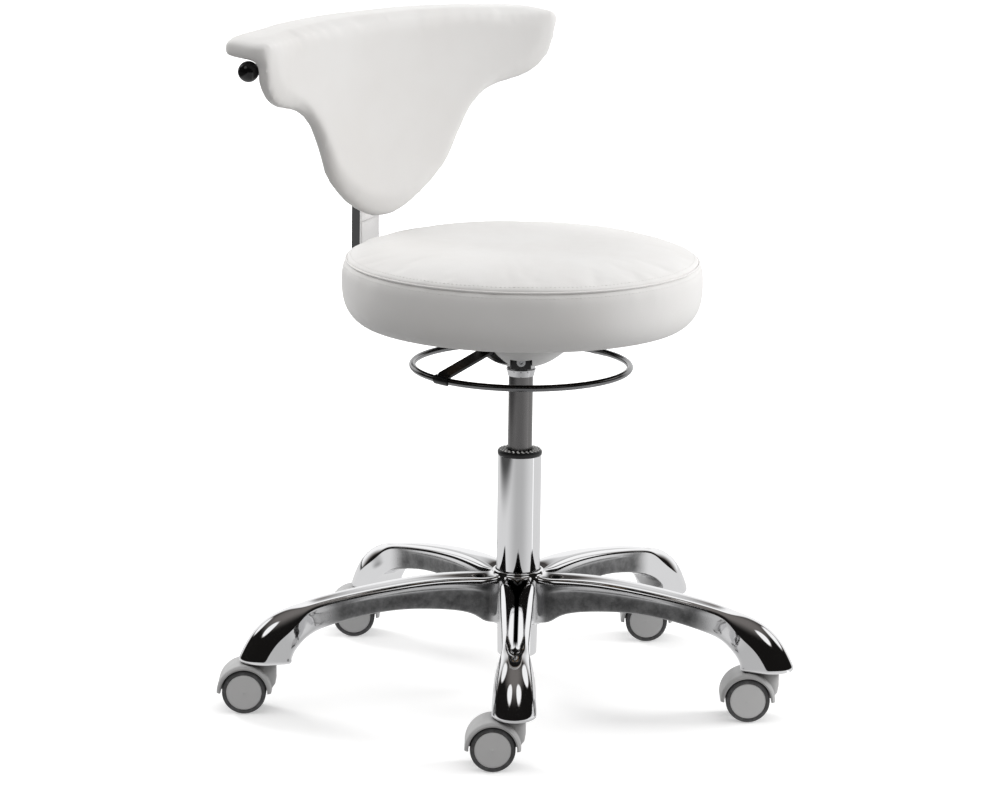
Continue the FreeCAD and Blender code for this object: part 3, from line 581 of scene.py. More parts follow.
def mark_finish_and_shade(piece, first_angle):
    """Per-point finish: how rough the cast webs are left, and how much painted shade darkens the valleys, most of
    all on the first arm, the one nearest the camera."""
    mesh = piece.data
    cast = mesh.attributes.new("cast", "FLOAT", "POINT")
    painted_valley_shade = mesh.attributes.new("painted_valley_shade", "FLOAT", "POINT")
    pitch = 2 * math.pi / CASTORS
    normals = mesh.vertex_normals
    for index, vertex in enumerate(mesh.vertices):
        co = vertex.co
        reach = math.hypot(co.x, co.y) / MM
        turn = math.atan2(co.y, co.x) - first_angle
        off_arm = (turn + pitch / 2) % pitch - pitch / 2
        across = abs(reach * math.sin(off_arm))
        facing_up = normals[index].vector.z
        level = (co.z - FLOOR) / MM
        side = 1 - ease(abs(facing_up), 0.35, 0.75)
        under = ease(-facing_up, 0.3, 0.8)
        off_ends = ease(reach, 34, 44) * (1 - ease(reach, WEB_REACH - 34, WEB_REACH))
        lip = 119 + 14 * (1 - reach / 250)
        below_lip = 1 - ease(level, lip, lip + 9)
        cast.data[index].value = max(side * below_lip, under) * off_ends
        # Painted shade in the valleys: widest near the hub, strongest on the arm nearest the camera, where the
        # dark front would be mirrored.
        half = 3.2 + 13.0 * (1 - ease(reach, 36, 112))
        in_valley = (1 - ease(across, half * 0.60, half)) * ease(facing_up, 0.1, 0.4)
        on_arm = ease(reach, 31, 36) * (1 - ease(reach, 232, 252))
        forward = max(0.0, math.cos(turn)) ** 3
        near_hub = 1 - ease(reach, 38, 62)
        shade_weight = max(near_hub * 0.7, 0.25, forward)
        painted_valley_shade.data[index].value = 1 - 0.96 * in_valley * on_arm * shade_weight


def close_foot(editable, loop):
    """Flat quad grid over the foot's open end."""
    top = loop[:ARM_COLUMNS]
    right = loop[ARM_COLUMNS:ARM_COLUMNS + ARM_SIDES]
    bottom = loop[ARM_COLUMNS + ARM_SIDES:2 * ARM_COLUMNS + ARM_SIDES][::-1]
    left = loop[2 * ARM_COLUMNS + ARM_SIDES:][::-1]
    middle = sum((vertex.co for vertex in loop), Vector()) / len(loop)
    drop = Vector((0, 0, -1.0 * MM))

    def inner(vertex):
        return editable.verts.new(middle + (vertex.co - middle) * 0.94 + drop)

    lifted = {vertex: inner(vertex) for vertex in loop}
    bridge(editable, loop, [lifted[vertex] for vertex in loop])
    rows = [[lifted[v] for v in top]]
    for level in range(ARM_SIDES):
        start = lifted[left[level]]
        end = lifted[right[level]]
        shares = [column / (ARM_COLUMNS - 1) for column in range(1, ARM_COLUMNS - 1)]
        rows.append([start, *(editable.verts.new(start.co.lerp(end.co, share)) for share in shares), end])
    rows.append([lifted[v] for v in bottom])
    for upper, lower in zip(rows, rows[1:]):
        for column in range(ARM_COLUMNS - 1):
            editable.faces.new((upper[column], upper[column + 1], lower[column + 1], lower[column]))


def close_hub(editable, openings):
    """Hub wall between the arms, its top rim, its underside and its bore."""
    second_row = 2 * ARM_COLUMNS + ARM_SIDES
    top_loop = [vertex for opening in openings for vertex in opening[:ARM_COLUMNS]]
    bottom_loop = [vertex for opening in openings
                   for vertex in opening[ARM_COLUMNS + ARM_SIDES:second_row][::-1]]
    for arm, opening in enumerate(openings):
        following = openings[(arm + 1) % CASTORS]
        right = opening[ARM_COLUMNS - 1:ARM_COLUMNS + ARM_SIDES + 1]
        left = [following[0]] + following[second_row:][::-1] + [following[second_row - 1]]
        for level in range(len(right) - 1):
            editable.faces.new((right[level], left[level], left[level + 1], right[level + 1]))

    def ring_like(source, radius, z):
        flat = [Vector((vertex.co.x, vertex.co.y, 0)).normalized() * radius * MM for vertex in source]
        return [editable.verts.new((place.x, place.y, height(z))) for place in flat]

    rim = ((29.6, 144.6), (28.8, 146.0), (26.2, 146.2), (25.1, 145.4), (25.1, 140))
    foot = ((31.4, 85.4), (31.0, 84.4), (29.5, 84.0), (24.6, 84.2), (24.5, 88.0))
    top_rings = [top_loop] + [ring_like(top_loop, r, z) for r, z in rim]
    bottom_rings = [bottom_loop] + [ring_like(bottom_loop, r, z) for r, z in foot]
    for rings in (top_rings, bottom_rings):
        for first, second in zip(rings, rings[1:]):
            bridge(editable, first, second)
    bridge(editable, top_rings[-1], bottom_rings[-1])


# ---------------------------------------------------------------- column and mechanism
def guide_cap():
    """Black cap of the guide bush with rings of small bright dots on top."""
    low, top = ((corner.z - FLOOR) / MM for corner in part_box("guide_bush"))
    outline = [(14.05, low), (22.9, low), (22.9, top - 6), (25.2, top - 6), (25.5, top - 4.5),
               (25.5, top - 2.2), (24.6, top - 0.6), (22.6, top), (16.2, top), (15.4, top - 0.8),
               (14.05, top - 0.8)]
    lathe_piece("guide_bush_cap", outline, "guide_bush")
    editable = bmesh.new()
    for radius, count, shift in ((22.9, 26, 0.0), (19.9, 24, 0.5), (17.0, 20, 0.0)):
        for number in range(count):
            spot = polar(radius * MM, 2 * math.pi * (number + shift) / count, height(top))
            flatten = Matrix.Scale(0.35, 4, (0, 0, 1))
            bmesh.ops.create_uvsphere(editable, u_segments=12, v_segments=6, radius=1.25 * MM,
                                      matrix=Matrix.Translation(spot) @ flatten)
    mesh = mesh_from("guide_cap_dots", editable, 180)
    add_piece("guide_cap_dots", mesh, "base", "black_plastic", (), "white_plastic")


def column_pieces():
    """Chromed tube, its guide cap, the gas spring's tube and the collar under the cone."""
    outline = [(20.5, 47.5), (5.1, 47.5), (5.1, 45.0), (21.2, 45.0), (22.46, 46.4), (24.96, 144.0),
               (25.0, 146.0), (25.0, 280.6), (24.6, 281.0), (23.0, 281.0), (23.0, 147.0)]
    lathe_piece("column_outer_tube", outline, "column_tube", 0.15, 192)
    guide_cap()
    outline = [(12.5, 140.0), (14.0, 140.6), (14.0, 374.9), (13.4, 406.0), (12.5, 406.0)]
    lathe_piece("gas_tube", outline, "pressure_tube", 0.05)
    outline = [(14.02, 373.0), (14.9, 373.0), (15.3, 374.6), (16.1, 378.6), (16.9, 380.4), (16.9, 381.3),
               (16.2, 382.2), (16.0, 384.0), (16.0, 407.0), (14.1, 407.0)]
    lathe_piece("cone_collar", outline, "cone_socket")


LUG_HALF_WIDTH = 10.5 * MM


def lift_ring():
    """Round steel ring, with the ends of the flat arm wrapped over its outside."""
    low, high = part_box("release_ring")
    rod = (high.z - low.z) / 2
    radius = (high.x - low.x) / 2 - rod
    middle = (low + high) / 2
    path = [middle + polar(radius, angle) for angle in full_turn(192)]
    tube_along("lift_ring_rod", path, rod, "lift_ring", "bright_steel", "ring_steel", 24,
               ("release_ring",))
    editable = bmesh.new()
    for heading in (0.0, math.pi):
        rows = []
        for step in range(13):
            angle = heading + LUG_HALF_WIDTH / radius * (step - 6) / 6
            row = []
            for reach, turns in ((rod + 1.7 * MM, range(19)), (rod + 0.1 * MM, range(18, -1, -1))):
                for turn in turns:
                    tilt = math.radians(125 - 10.5 * turn)
                    row.append(middle + polar(radius + reach * math.cos(tilt), angle,
                                              reach * math.sin(tilt)))
            rows.append(row)
        skin(editable, rows)
    mesh = mesh_from("ring_lugs", editable, 50)
    add_piece("ring_lugs", mesh, "lift_ring", "black_painted")


# ---------------------------------------------------------------- castors
def castor_matrix(number):
    """The castor's own frame: stem on Z at floor height, trail along +X, wheels along Y."""
    stem = joint_place("swivel_%d" % number)
    axle = centre("castor_%d_axle" % number)
    trail = Vector((axle.x - stem.x, axle.y - stem.y, 0)).normalized()
    across = Vector((0, 0, 1)).cross(trail)
    matrix = Matrix((trail, across, Vector((0, 0, 1)))).transposed().to_4x4()
    matrix.translation = Vector((stem.x, stem.y, FLOOR))
    return matrix


TRAIL = 22.5 * MM
WHEEL_RADIUS = 25.0 * MM


def hood_mesh():
    """Arched cover with a lip round each wheel opening, a middle web and a stem boss."""
    editable = bmesh.new()
    profile = [(26.6, 26.0), (28.2, 26.0), (28.5, 25.3), (29.6, 24.4), (30.6, 22.6), (31.0, 20.0),
               (31.0, 0.0)]
    profile += [(r, -y) for r, y in reversed(profile[:-1])]
    profile += [(26.6, -6.6), (9.0, -6.6), (9.0, 6.6), (26.6, 6.6)]
    steps = 48
    start = -2.0
    end = 182.0
    rows = []
    for step in range(steps + 1):
        angle = math.radians(start + (end - start) * step / steps)
        rows.append([(TRAIL + radius * MM * math.cos(angle), across * MM,
                      WHEEL_RADIUS + radius * MM * math.sin(angle)) for radius, across in profile])
    skin(editable, rows)
    boss = ((5.55, 40), (5.55, 55.3), (12.6, 55.3), (13.3, 54.4), (13.3, 38), (12, 30), (9, 25.5), (6, 40))
    parts = (editable, lathe_bmesh([(radius * MM, z * MM) for radius, z in boss], steps))
    joined = bmesh.new()
    for part in parts:
        joined.from_mesh(mesh_from("hood_part", part, 50))
    return mesh_from("castor_hood", joined, 50)


def wheel_outline():
    return [(3.1, 7.6), (7.0, 7.6), (7.0, 20.0), (17.5, 20.0), (17.5, 8.4), (20.2, 8.4), (20.2, 23.6),
            (19.7, 24.2), (18.6, 24.55), (12.0, 24.9), (1.6, 25.05), (1.2, 25.3), (0, 25.35), (0, 20.0),
            (3.1, 20.0)]


def tyre_outline():
    return [(20.35, 7.6), (23.2, 7.6), (24.6, 8.4), (25.0, 9.6), (25.0, 22.0), (24.6, 23.3), (23.6, 24.1),
            (22.0, 24.55), (21.0, 24.5), (20.35, 23.9)]


def turned_mesh(name, outline, steps=96):
    points = [(r * MM, y * MM) for r, y in outline]
    return mesh_from(name, lathe_bmesh(rounded(points, 0.25 * MM, 2), steps), 40)


def castors():
    """Hoods on their swivels and twin wheels on their axles, from three shared meshes."""
    hood = hood_mesh()
    wheel = turned_mesh("castor_wheel", wheel_outline())
    tyre = turned_mesh("castor_tyre", tyre_outline())
    for number in range(1, CASTORS + 1):
        place = castor_matrix(number)
        body = f"castor_{number}"
        add_piece(f"hood_{number}", hood, body, "hood_grey", (body + "_hood",), None, place)
        axle = place @ Matrix.Translation((TRAIL, 0, WHEEL_RADIUS))
        for label, side in (("left", 1), ("right", -1)):
            turn = axle @ Matrix.Rotation(math.radians(-90 * side), 4, "X")
            end = f"{number}_{label}"
            for piece, mesh, slot, node in (("disc", wheel, "wheel_grey", "wheel"),
                                            ("tread", tyre, "tyre_grey", "tyre")):
                add_piece(f"{piece}_{end}", mesh, f"wheel_{end}", slot, (f"{body}_{node}_{label}",),
                          None, turn)


# ---------------------------------------------------------------- upholstery
def welded(*nodes):
    """The meshes of CAD nodes in one, with the points they share merged."""
    editable = bmesh.new()
    for node in nodes:
        editable.from_mesh(NODES[node].data)
    bmesh.ops.remove_doubles(editable, verts=editable.verts, dist=1e-6)
    return editable


def soft_copy(name, nodes, voxel, shrink):
    """Remeshed copy of CAD soft solids, pulled in a little so that it can swell."""
    editable = welded(*nodes)
    mesh = bpy.data.meshes.new(name)
    editable.to_mesh(mesh)
    editable.free()
    piece = new_object(name, mesh)
    remesh = piece.modifiers.new("remesh", "REMESH")
    remesh.mode = "VOXEL"
    remesh.voxel_size = voxel
    apply_modifiers(piece)
    for vertex in piece.data.vertices:
        vertex.co -= vertex.normal * shrink
    return piece


def swell(piece, pressure, cap, frames, pins=None):
    """Blow the piece up as cloth under pressure; no point moves further than the cap."""
    rest = [vertex.co.copy() for vertex in piece.data.vertices]
    cloth = piece.modifiers.new("cloth", "CLOTH").settings
    cloth.use_pressure = True
    cloth.uniform_pressure_force = pressure
    cloth.effector_weights.gravity = 0.0
    cloth.quality = 5
    cloth.tension_stiffness = 18
    cloth.compression_stiffness = 18
    if pins:
        cloth.vertex_group_mass = pins
        cloth.pin_stiffness = 1.0
    scene = bpy.context.scene
    scene.frame_start = 1
    scene.frame_end = frames
    for number in range(1, frames + 1):
        scene.frame_set(number)
    apply_modifiers(piece)
    scene.frame_set(1)
    for vertex, old in zip(piece.data.vertices, rest):
        move = vertex.co - old
        if move.length > cap:
            vertex.co = old + move.normalized() * cap


def relax(piece, factor, repeats):
    modifier = piece.modifiers.new("relax", "SMOOTH")
    modifier.factor = factor
    modifier.iterations = repeats
    apply_modifiers(piece)


def stitch_row(name, points, normals, length, gap, thickness, body):
    """Row of thread stitches lying along a path of points."""
    editable = bmesh.new()
    travelled = 0.0
    next_start = 0.0
    for start, end, normal in zip(points, points[1:], normals):
        size = (end - start).length
        if size < 1e-9:
            continue
        direction = (end - start) / size
        while next_start < travelled + size:
            middle = start + direction * (next_start - travelled + length / 2)
            add_stitch(editable, middle, direction, normal, length, thickness)
            next_start += length + gap
        travelled += size
    mesh = mesh_from(name, editable, 180)
    add_piece(name, mesh, body, "white_leatherette", (), "thread")


def add_stitch(editable, middle, direction, normal, length, thickness):
    """One stitch: a short thread that arches out of the cover."""
    side = direction.cross(normal).normalized()
    up = side.cross(direction).normalized()
    if up.dot(normal) < 0:
        up = -up
    segments = 4
    rows = []
    for step in range(segments + 1):
        t = step / segments
        arch = math.sin(math.pi * t)
        point = middle + direction * length * (t - 0.5) + up * thickness * (0.9 * arch - 0.45)
        radius = thickness / 2 * (0.55 + 0.45 * arch)
        rows.append([point + side * radius * math.cos(angle) + up * radius * math.sin(angle)
                     for angle in full_turn(6)])
    skin(editable, rows)


SEAM_HEIGHT = 508.0
SEAM_RADIUS = 200.0
CROWN_START = 92.0
BOARD_RADIUS = 180.6
BOARD_TOP = 450.3


def seat_profile():
    """Cushion outline from the middle of the top, over the seam, to the board; mm."""
    low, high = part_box("seat_cushion")
    top = (high.z - FLOOR) / MM
    bottom = (low.z - FLOOR) / MM
    edge = high.x / MM
    points = [(0.0, top)]
    radii = [8.0 * step for step in range(1, 23)] + [181, 185, 189.0, 193.0, 196.4, 198.8]
    for radius in radii:
        share = max(0.0, (radius - CROWN_START) / (SEAM_RADIUS - CROWN_START))
        fall = 1 - (1 - min(1.0, share) ** 3) ** 0.64
        points.append((radius, top - (top - SEAM_HEIGHT) * fall))
    points += [(199.2, SEAM_HEIGHT + 0.2), (199.1, SEAM_HEIGHT - 1.4), (201.0, SEAM_HEIGHT - 3.4)]
    points += [(202.8, 501.5), (204.2, 496.5), (edge - 0.2, 490), (edge, 483), (edge, 476),
               (edge - 0.5, 469), (edge - 1.6, 462.5), (edge - 3.6, 456), (edge - 6.6, 450),
               (edge - 10.4, 445), (edge - 14.6, 441), (edge - 19.4, bottom + 0.8), (182.4, bottom + 0.2)]
    points += [(BOARD_RADIUS, bottom + 1.2), (BOARD_RADIUS, 444.0)]
    return points + [(radius, BOARD_TOP) for radius in (BOARD_RADIUS, 150.0, 90.0, 30.0, 0.0)]


def pucker(piece, seam_z, reach, depth, count):
    """Small gathers that run away from a level seam and fade out."""
    def waves(angle, turns, level):
        return noise.noise(Vector((turns * math.cos(angle), turns * math.sin(angle), level)))

    for vertex in piece.data.vertices:
        co = vertex.co
        radius = math.hypot(co.x, co.y)
        if radius < 0.12:
            continue
        angle = math.atan2(co.y, co.x)
        along = math.hypot(co.z - seam_z, max(0.0, SEAM_RADIUS * MM - radius))
        fade = math.exp(-(along / reach) ** 2) * min(1.0, along / (0.25 * reach))
        ripple = waves(angle, count, 3.7) + 0.5 * waves(angle, 2.7 * count, 9.1)
        vertex.co += vertex.normal * (ripple * fade * depth)


def seat_upholstery():
    """Round cushion: crowned top panel sewn to a side band, with piping along the seam."""
    outline = [(r * MM, height(h)) for r, h in seat_profile()]
    mesh = mesh_from("seat_upholstery", lathe_bmesh(outline, 176), 180)
    piece = new_object("seat_upholstery", mesh)
    seam_z = height(SEAM_HEIGHT)
    under = height(BOARD_TOP)

    def held(co):
        """Whether a sewn seam or the board keeps a point still."""
        radius = math.hypot(co.x, co.y)
        on_seam = abs(co.z - seam_z) < 2.2 * MM and radius > 0.192
        inside = radius < BOARD_RADIUS * MM + 2.5 * MM and co.z < under + 1 * MM
        return on_seam or inside or radius < 0.06

    group = piece.vertex_groups.new(name="pinned")
    group.add([vertex.index for vertex in piece.data.vertices if held(vertex.co)], 1.0, "REPLACE")
    swell(piece, 1.6, 2.6 * MM, 14, group.name)
    pucker(piece, seam_z, 0.020, 0.0011, 13.0)
    subdivide(piece, 1)
    finish_soft(piece, "seat", "white_leatherette", ("seat_cushion",))
    seam_trim(piece)
    return piece


def level_circle(radius, z, steps):
    """Closed path of points at one height, the first point repeated at the end."""
    return [polar(radius * MM, angle, height(z)) for angle in (*full_turn(steps), 0.0)]


def on_surface(piece, path):
    """Path laid on a piece's surface, with the surface normals there."""
    hits = [piece.closest_point_on_mesh(point) for point in path]
    return [hit[1] for hit in hits], [hit[2] for hit in hits]


def seam_trim(piece):
    """Piping in the seam and two fine rows of stitches beside it."""
    piping = level_circle(SEAM_RADIUS + 0.3, SEAM_HEIGHT - 0.7, 240)[:-1]
    tube_along("seat_piping", piping, 1.25 * MM, "seat", "white_leatherette", "white_leatherette")
    for name, radius, z in (("seat_stitches_low", SEAM_RADIUS + 4.6, SEAM_HEIGHT - 5.6),
                            ("seat_stitches_high", SEAM_RADIUS - 5.5, SEAM_HEIGHT + 3.6)):
        points, normals = on_surface(piece, level_circle(radius, z, 480))
        stitch_row(name, points, normals, 3.4 * MM, 1.6 * MM, 0.55 * MM, "seat")


def dust_cover():
    """Black cloth stapled under the seat board, sagging a little between its staples."""
    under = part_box("seat_board")[0].z - 0.4 * MM
    editable = bmesh.new()
    rings = []
    radii = (97, 104, 114, 126, 138, 150, 160, 168, 173, 176)
    for number, radius in enumerate(radii):
        ring = []
        for angle in full_turn(144):
            sag = math.sin(math.pi * number / (len(radii) - 1)) * (0.8 + 0.5 * math.cos(12 * angle))
            fold = 0.35 * noise.noise(polar(radius, angle) * 0.06)
            ring.append(polar(radius * MM, angle, under - (sag * 0.5 + abs(fold)) * MM))
        rings.append(ring)
    skin(editable, rings, capped=False)
    bmesh.ops.solidify(editable, geom=editable.faces[:], thickness=0.25 * MM)
    mesh = mesh_from("dust_cover", editable, 60)
    add_piece("dust_cover", mesh, "seat", "black_plastic", (), "dust_cloth")
    staples(under)


def staples(under):
    """Wire staples round the edge of the dust cover."""
    editable = bmesh.new()
    slant = Matrix.Rotation(math.radians(70), 4, "Z")
    size = Matrix.Diagonal((9 * MM, 1.0 * MM, 0.6 * MM, 1))
    for angle in full_turn(36):
        place = Matrix.Rotation(angle, 4, "Z") @ Matrix.Translation((0.1735, 0, under - 0.55 * MM))
        bmesh.ops.create_cube(editable, size=1.0, matrix=place @ slant @ size)
    bmesh.ops.bevel(editable, geom=editable.edges[:], offset=0.2 * MM, segments=2, affect="EDGES")
    mesh = mesh_from("staples", editable, 40)
    add_piece("staples", mesh, "seat", "zinc_steel")


def finish_soft(piece, body, slot, nodes):
    piece.data.materials.clear()
    piece.data.materials.append(MATERIALS[slot])
    stand_for(piece, body, nodes)


EDGE_ROUNDING = 16.0
SEAM_INSET = 22 * MM
RIM_BOTTOM = 733.0


def back_axis():
    """Centre and radius of the backrest's curved face in plan, from its CAD mesh."""
    points = [vertex.co for vertex in NODES["backrest_pad"].data.vertices]
    tip = min(points, key=lambda co: co.y)
    central = [co for co in points if abs(co.x) < abs(tip.x) / 3]
    bow = tip.x ** 2 / (max(co.y for co in central) - tip.y)
    middle = min(central, key=lambda co: co.y + co.x ** 2 / bow)
    gap = tip.x ** 2 + tip.y ** 2 - middle.x ** 2 - middle.y ** 2
    centre_y = gap / (2 * (tip.y - middle.y))
    return centre_y, math.hypot(tip.x, tip.y - centre_y)


def outline_chain(centre_y, radius):
    """Front outline of the pad below the rim, as ordered points, with the way to its inside."""
    editable = welded("backrest_pad")

    def depth_of(co):
        return abs(math.hypot(co.x, co.y - centre_y) - radius)

    links = {}
    inside = {}
    for edge in editable.edges:
        if len(edge.link_faces) != 2 or edge.calc_face_angle(0.0) < math.radians(50):
            continue
        first, second = edge.verts
        if max(depth_of(first.co), depth_of(second.co)) > 0.6 * MM:
            continue
        if min(first.co.z, second.co.z) > height(RIM_BOTTOM - 1.5):
            continue
        front = min(edge.link_faces, key=lambda face: max(depth_of(v.co) for v in face.verts))
        inside[frozenset((first.index, second.index))] = front.calc_center_median()
        links.setdefault(first.index, []).append(second.index)
        links.setdefault(second.index, []).append(first.index)
    editable.verts.ensure_lookup_table()
    start = min((index for index in links if len(links[index]) == 1),
                key=lambda index: editable.verts[index].co.x)
    order = [start]
    while True:
        onward = [index for index in links[order[-1]] if index not in order[-2:]]
        if not onward or onward[0] == start:
            break
        order.append(onward[0])
    points = [Vector((editable.verts[index].co.x, 0, editable.verts[index].co.z)) for index in order]
    sides = [inside[frozenset(pair)] for pair in zip(order, order[1:])]
    editable.free()
    return points, sides


def hermite(first, second, leave, arrive, t):
    """Point on the cubic between two points with the given end tangents."""
    return (first * (2 * t ** 3 - 3 * t ** 2 + 1) + leave * (t ** 3 - 2 * t ** 2 + t)
            + second * (3 * t ** 2 - 2 * t ** 3) + arrive * (t ** 3 - t ** 2))


def outline_samples(centre_y, radius):
    """Close points along the outline: on the chord, inward direction, chord to true curve."""
    points, sides = outline_chain(centre_y, radius)
    tangents = [(after - before).normalized()
                for before, after in zip(points[:1] + points, points[1:] + points[-1:])]
    samples = []
    for index, (first, second) in enumerate(zip(points, points[1:])):
        leave, arrive = tangents[index:index + 2]
        length = (second - first).length
        along = (second - first).normalized()
        inward = Vector((-along.z, 0, along.x))
        toward = sides[index] - first
        if inward.x * toward.x + inward.z * toward.z < 0:
            inward = -inward
        smooth_run = along.dot(leave) > 0.9 and along.dot(arrive) > 0.9
        steps = max(1, int(length / (0.7 * MM)))
        for t in (step / steps for step in range(steps)):
            chord = first.lerp(second, t)
            true = hermite(first, second, leave * length, arrive * length, t)
            samples.append((chord, inward, true - chord if smooth_run else Vector()))
    return samples


def outline_tree(samples):
    """Search tree of the samples' places."""
    tree = kdtree.KDTree(len(samples))
    for index, sample in enumerate(samples):
        tree.insert(sample[0], index)
    tree.balance()
    return tree


def nearest_edge(tree, samples, co):
    """Inward direction of the outline near a point, signed distance in from it, the bulge there."""
    flat = Vector((co.x, 0.0, co.z))
    found = tree.find_n(flat, 14)
    inward = sum((samples[near[1]][1] for near in found), Vector()).normalized()
    bulge = samples[found[0][1]][2]
    return inward, max((flat - found[0][0]).dot(inward), 0.0), found[0][2], bulge


def round_front_edges(piece, rounding):
    """Turn the square front edge of the pad's outline into a full quarter round."""
    centre_y, radius = back_axis()
    samples = outline_samples(centre_y, radius)
    tree = outline_tree(samples)
    rim = height(RIM_BOTTOM + 6)
    for vertex in piece.data.vertices:
        co = vertex.co
        if co.z > rim:
            continue
        depth = math.hypot(co.x, co.y - centre_y) - radius
        away, distance, straight, bulge = nearest_edge(tree, samples, co)
        if straight < 3 * rounding:
            vertex.co = co + bulge * (1 - straight / (3 * rounding))
            co = vertex.co
        if straight > 1.5 * rounding or distance > rounding or depth > rounding:
            continue
        offset = Vector((distance - rounding, max(depth, 0.0) - rounding))
        if offset.length < rounding:
            continue
        target = offset.normalized() * rounding + Vector((rounding, rounding))
        fade = min(1.0, max(0.0, (rim - co.z) / (20 * MM)))
        outward = Vector((co.x, co.y - centre_y, 0)).normalized()
        shift = away * (target.x - distance) + outward * (target.y - depth)
        vertex.co = co + shift * fade
    return samples


def back_upholstery():
    """Winged backrest with its padded top rim under one sewn cover."""
    nodes = ("backrest_pad", "backrest_shell", "rim_pad")
    piece = soft_copy("back_upholstery", nodes, 4 * MM, 0.4 * MM)
    relax(piece, 0.5, 2)
    samples = round_front_edges(piece, EDGE_ROUNDING * MM)
    relax(piece, 0.5, 9)
    swell(piece, 3.0, 2.4 * MM, 12)
    relax(piece, 0.5, 7)
    subdivide(piece, 1)
    finish_soft(piece, "backrest", "white_leatherette", nodes)
    rear_seam(piece, samples)
    return piece


def rear_seam(piece, samples):
    """Row of stitches on the rear, a little inside the outline, where the back panel is sewn in."""
    centre_y, radius = back_axis()
    behind = radius + 40 * MM
    path = []
    for point, inward, _ in samples[::6]:
        spot = point + inward * SEAM_INSET
        path.append(Vector((spot.x, centre_y + math.sqrt(behind ** 2 - spot.x ** 2), spot.z)))
    points, normals = on_surface(piece, path)
    stitch_row("back_stitches", points, normals, 3.6 * MM, 1.8 * MM, 0.6 * MM, "backrest")


# ---------------------------------------------------------------- CAD nodes that stay
BROKEN_EDGES = {
    "mechanism_cover": 0.6, "ring_arms": 0.6, "clamp_block": 0.5, "clamp_screw": 0.4, "slide_block": 1.2,
    "mechanism_plate": 0.4, "plate_screws": 0.5, "bar_screws": 0.5, "lever_pin": 0.5, "shell_screws": 0.5,
}


def edge_shading(limit_degrees):
    """Node group that shades a mesh smooth but keeps its sharp edges."""
    group = bpy.data.node_groups.new("edge_shading", "GeometryNodeTree")
    group.interface.new_socket("Geometry", in_out="INPUT", socket_type="NodeSocketGeometry")
    group.interface.new_socket("Geometry", in_out="OUTPUT", socket_type="NodeSocketGeometry")
    source = group.nodes.new("NodeGroupInput").outputs[0]
    weld = add_node(group, "GeometryNodeMergeByDistance", Geometry=source, Distance=1e-6)
    faces = add_node(group, "GeometryNodeSetShadeSmooth", Geometry=weld.outputs[0])
    angle = group.nodes.new("GeometryNodeInputMeshEdgeAngle").outputs["Unsigned Angle"]
    sharp = group.nodes.new("FunctionNodeCompare")
    sharp.operation = "GREATER_THAN"
    sharp.inputs[1].default_value = math.radians(limit_degrees)
    group.links.new(angle, sharp.inputs[0])
    edges = add_node(group, "GeometryNodeSetShadeSmooth", Geometry=faces.outputs[0],
                     Selection=sharp.outputs["Result"], Shade_Smooth=False)
    edges.domain = "EDGE"
    group.links.new(edges.outputs[0], group.nodes.new("NodeGroupOutput").inputs[0])
    return group


def keep_cad_nodes():
    """Give every CAD node its material, broken edges and smooth shading."""
    shading = edge_shading(32.0)
    for name, node in NODES.items():
        slot = slot_of_node(name)
        node.data.materials.clear()
        node.data.materials.append(MATERIALS[slot])
        if name in BROKEN_EDGES:
            bevel = node.modifiers.new("broken_edges", "BEVEL")
            bevel.width = BROKEN_EDGES[name] * MM
            bevel.segments = 3
            bevel.limit_method = "ANGLE"
            bevel.angle_limit = math.radians(40)
        modifier = node.modifiers.new("shading", "NODES")
        modifier.node_group = shading


# ---------------------------------------------------------------- studio
CAMERA_AZIMUTH = -45.0
LENS = 161.43444
SENSOR = 36.0
CAMERA_DISTANCE = 5.0
CAMERA_HEIGHT = 1.44913
CAMERA_PAN = -0.0047
CAMERA_TILT = 0.2176
CAMERA_ROLL = 0.0140
KEY_LIGHT = {"azimuth": 54.0, "elevation": 20.0, "size": 1.3, "power": 66.0}
RIM_LIGHT = {"azimuth": -178.0, "elevation": 20.0, "size": 1.2, "power": 70.0}
LIGHT_DISTANCE = 3.5
LIGHT_TARGET = 350
# Each soft box: azimuth from the camera's side and elevation in degrees, cosine of its half angle.
SOFT_BOXES = ((-46, 50, 0.966), (46, 50, 0.966), (118, 35, 0.960), (-124, 35, 0.970))
BOX_EDGE = (-0.005, 0.014)
DARKEST_MIRRORED = 0.008
BRIGHTEST_MIRRORED = 1.05
WARM_SHADE = (1.0, 0.925, 0.88)


def direction_at(azimuth, elevation=0.0):
    """Unit vector; azimuth 0 is the stool's front, -Y, and grows towards +X; degrees."""
    spin = Matrix.Rotation(math.radians(azimuth), 3, "Z")
    tilt = math.radians(elevation)
    return spin @ Vector((0, -math.cos(tilt), math.sin(tilt)))


TOWARD_CAMERA = direction_at(CAMERA_AZIMUTH)
CAMERA_RIGHT = direction_at(CAMERA_AZIMUTH + 90.0)


def geometry_position(tree):
    return tree.nodes.new("ShaderNodeNewGeometry").outputs["Position"]


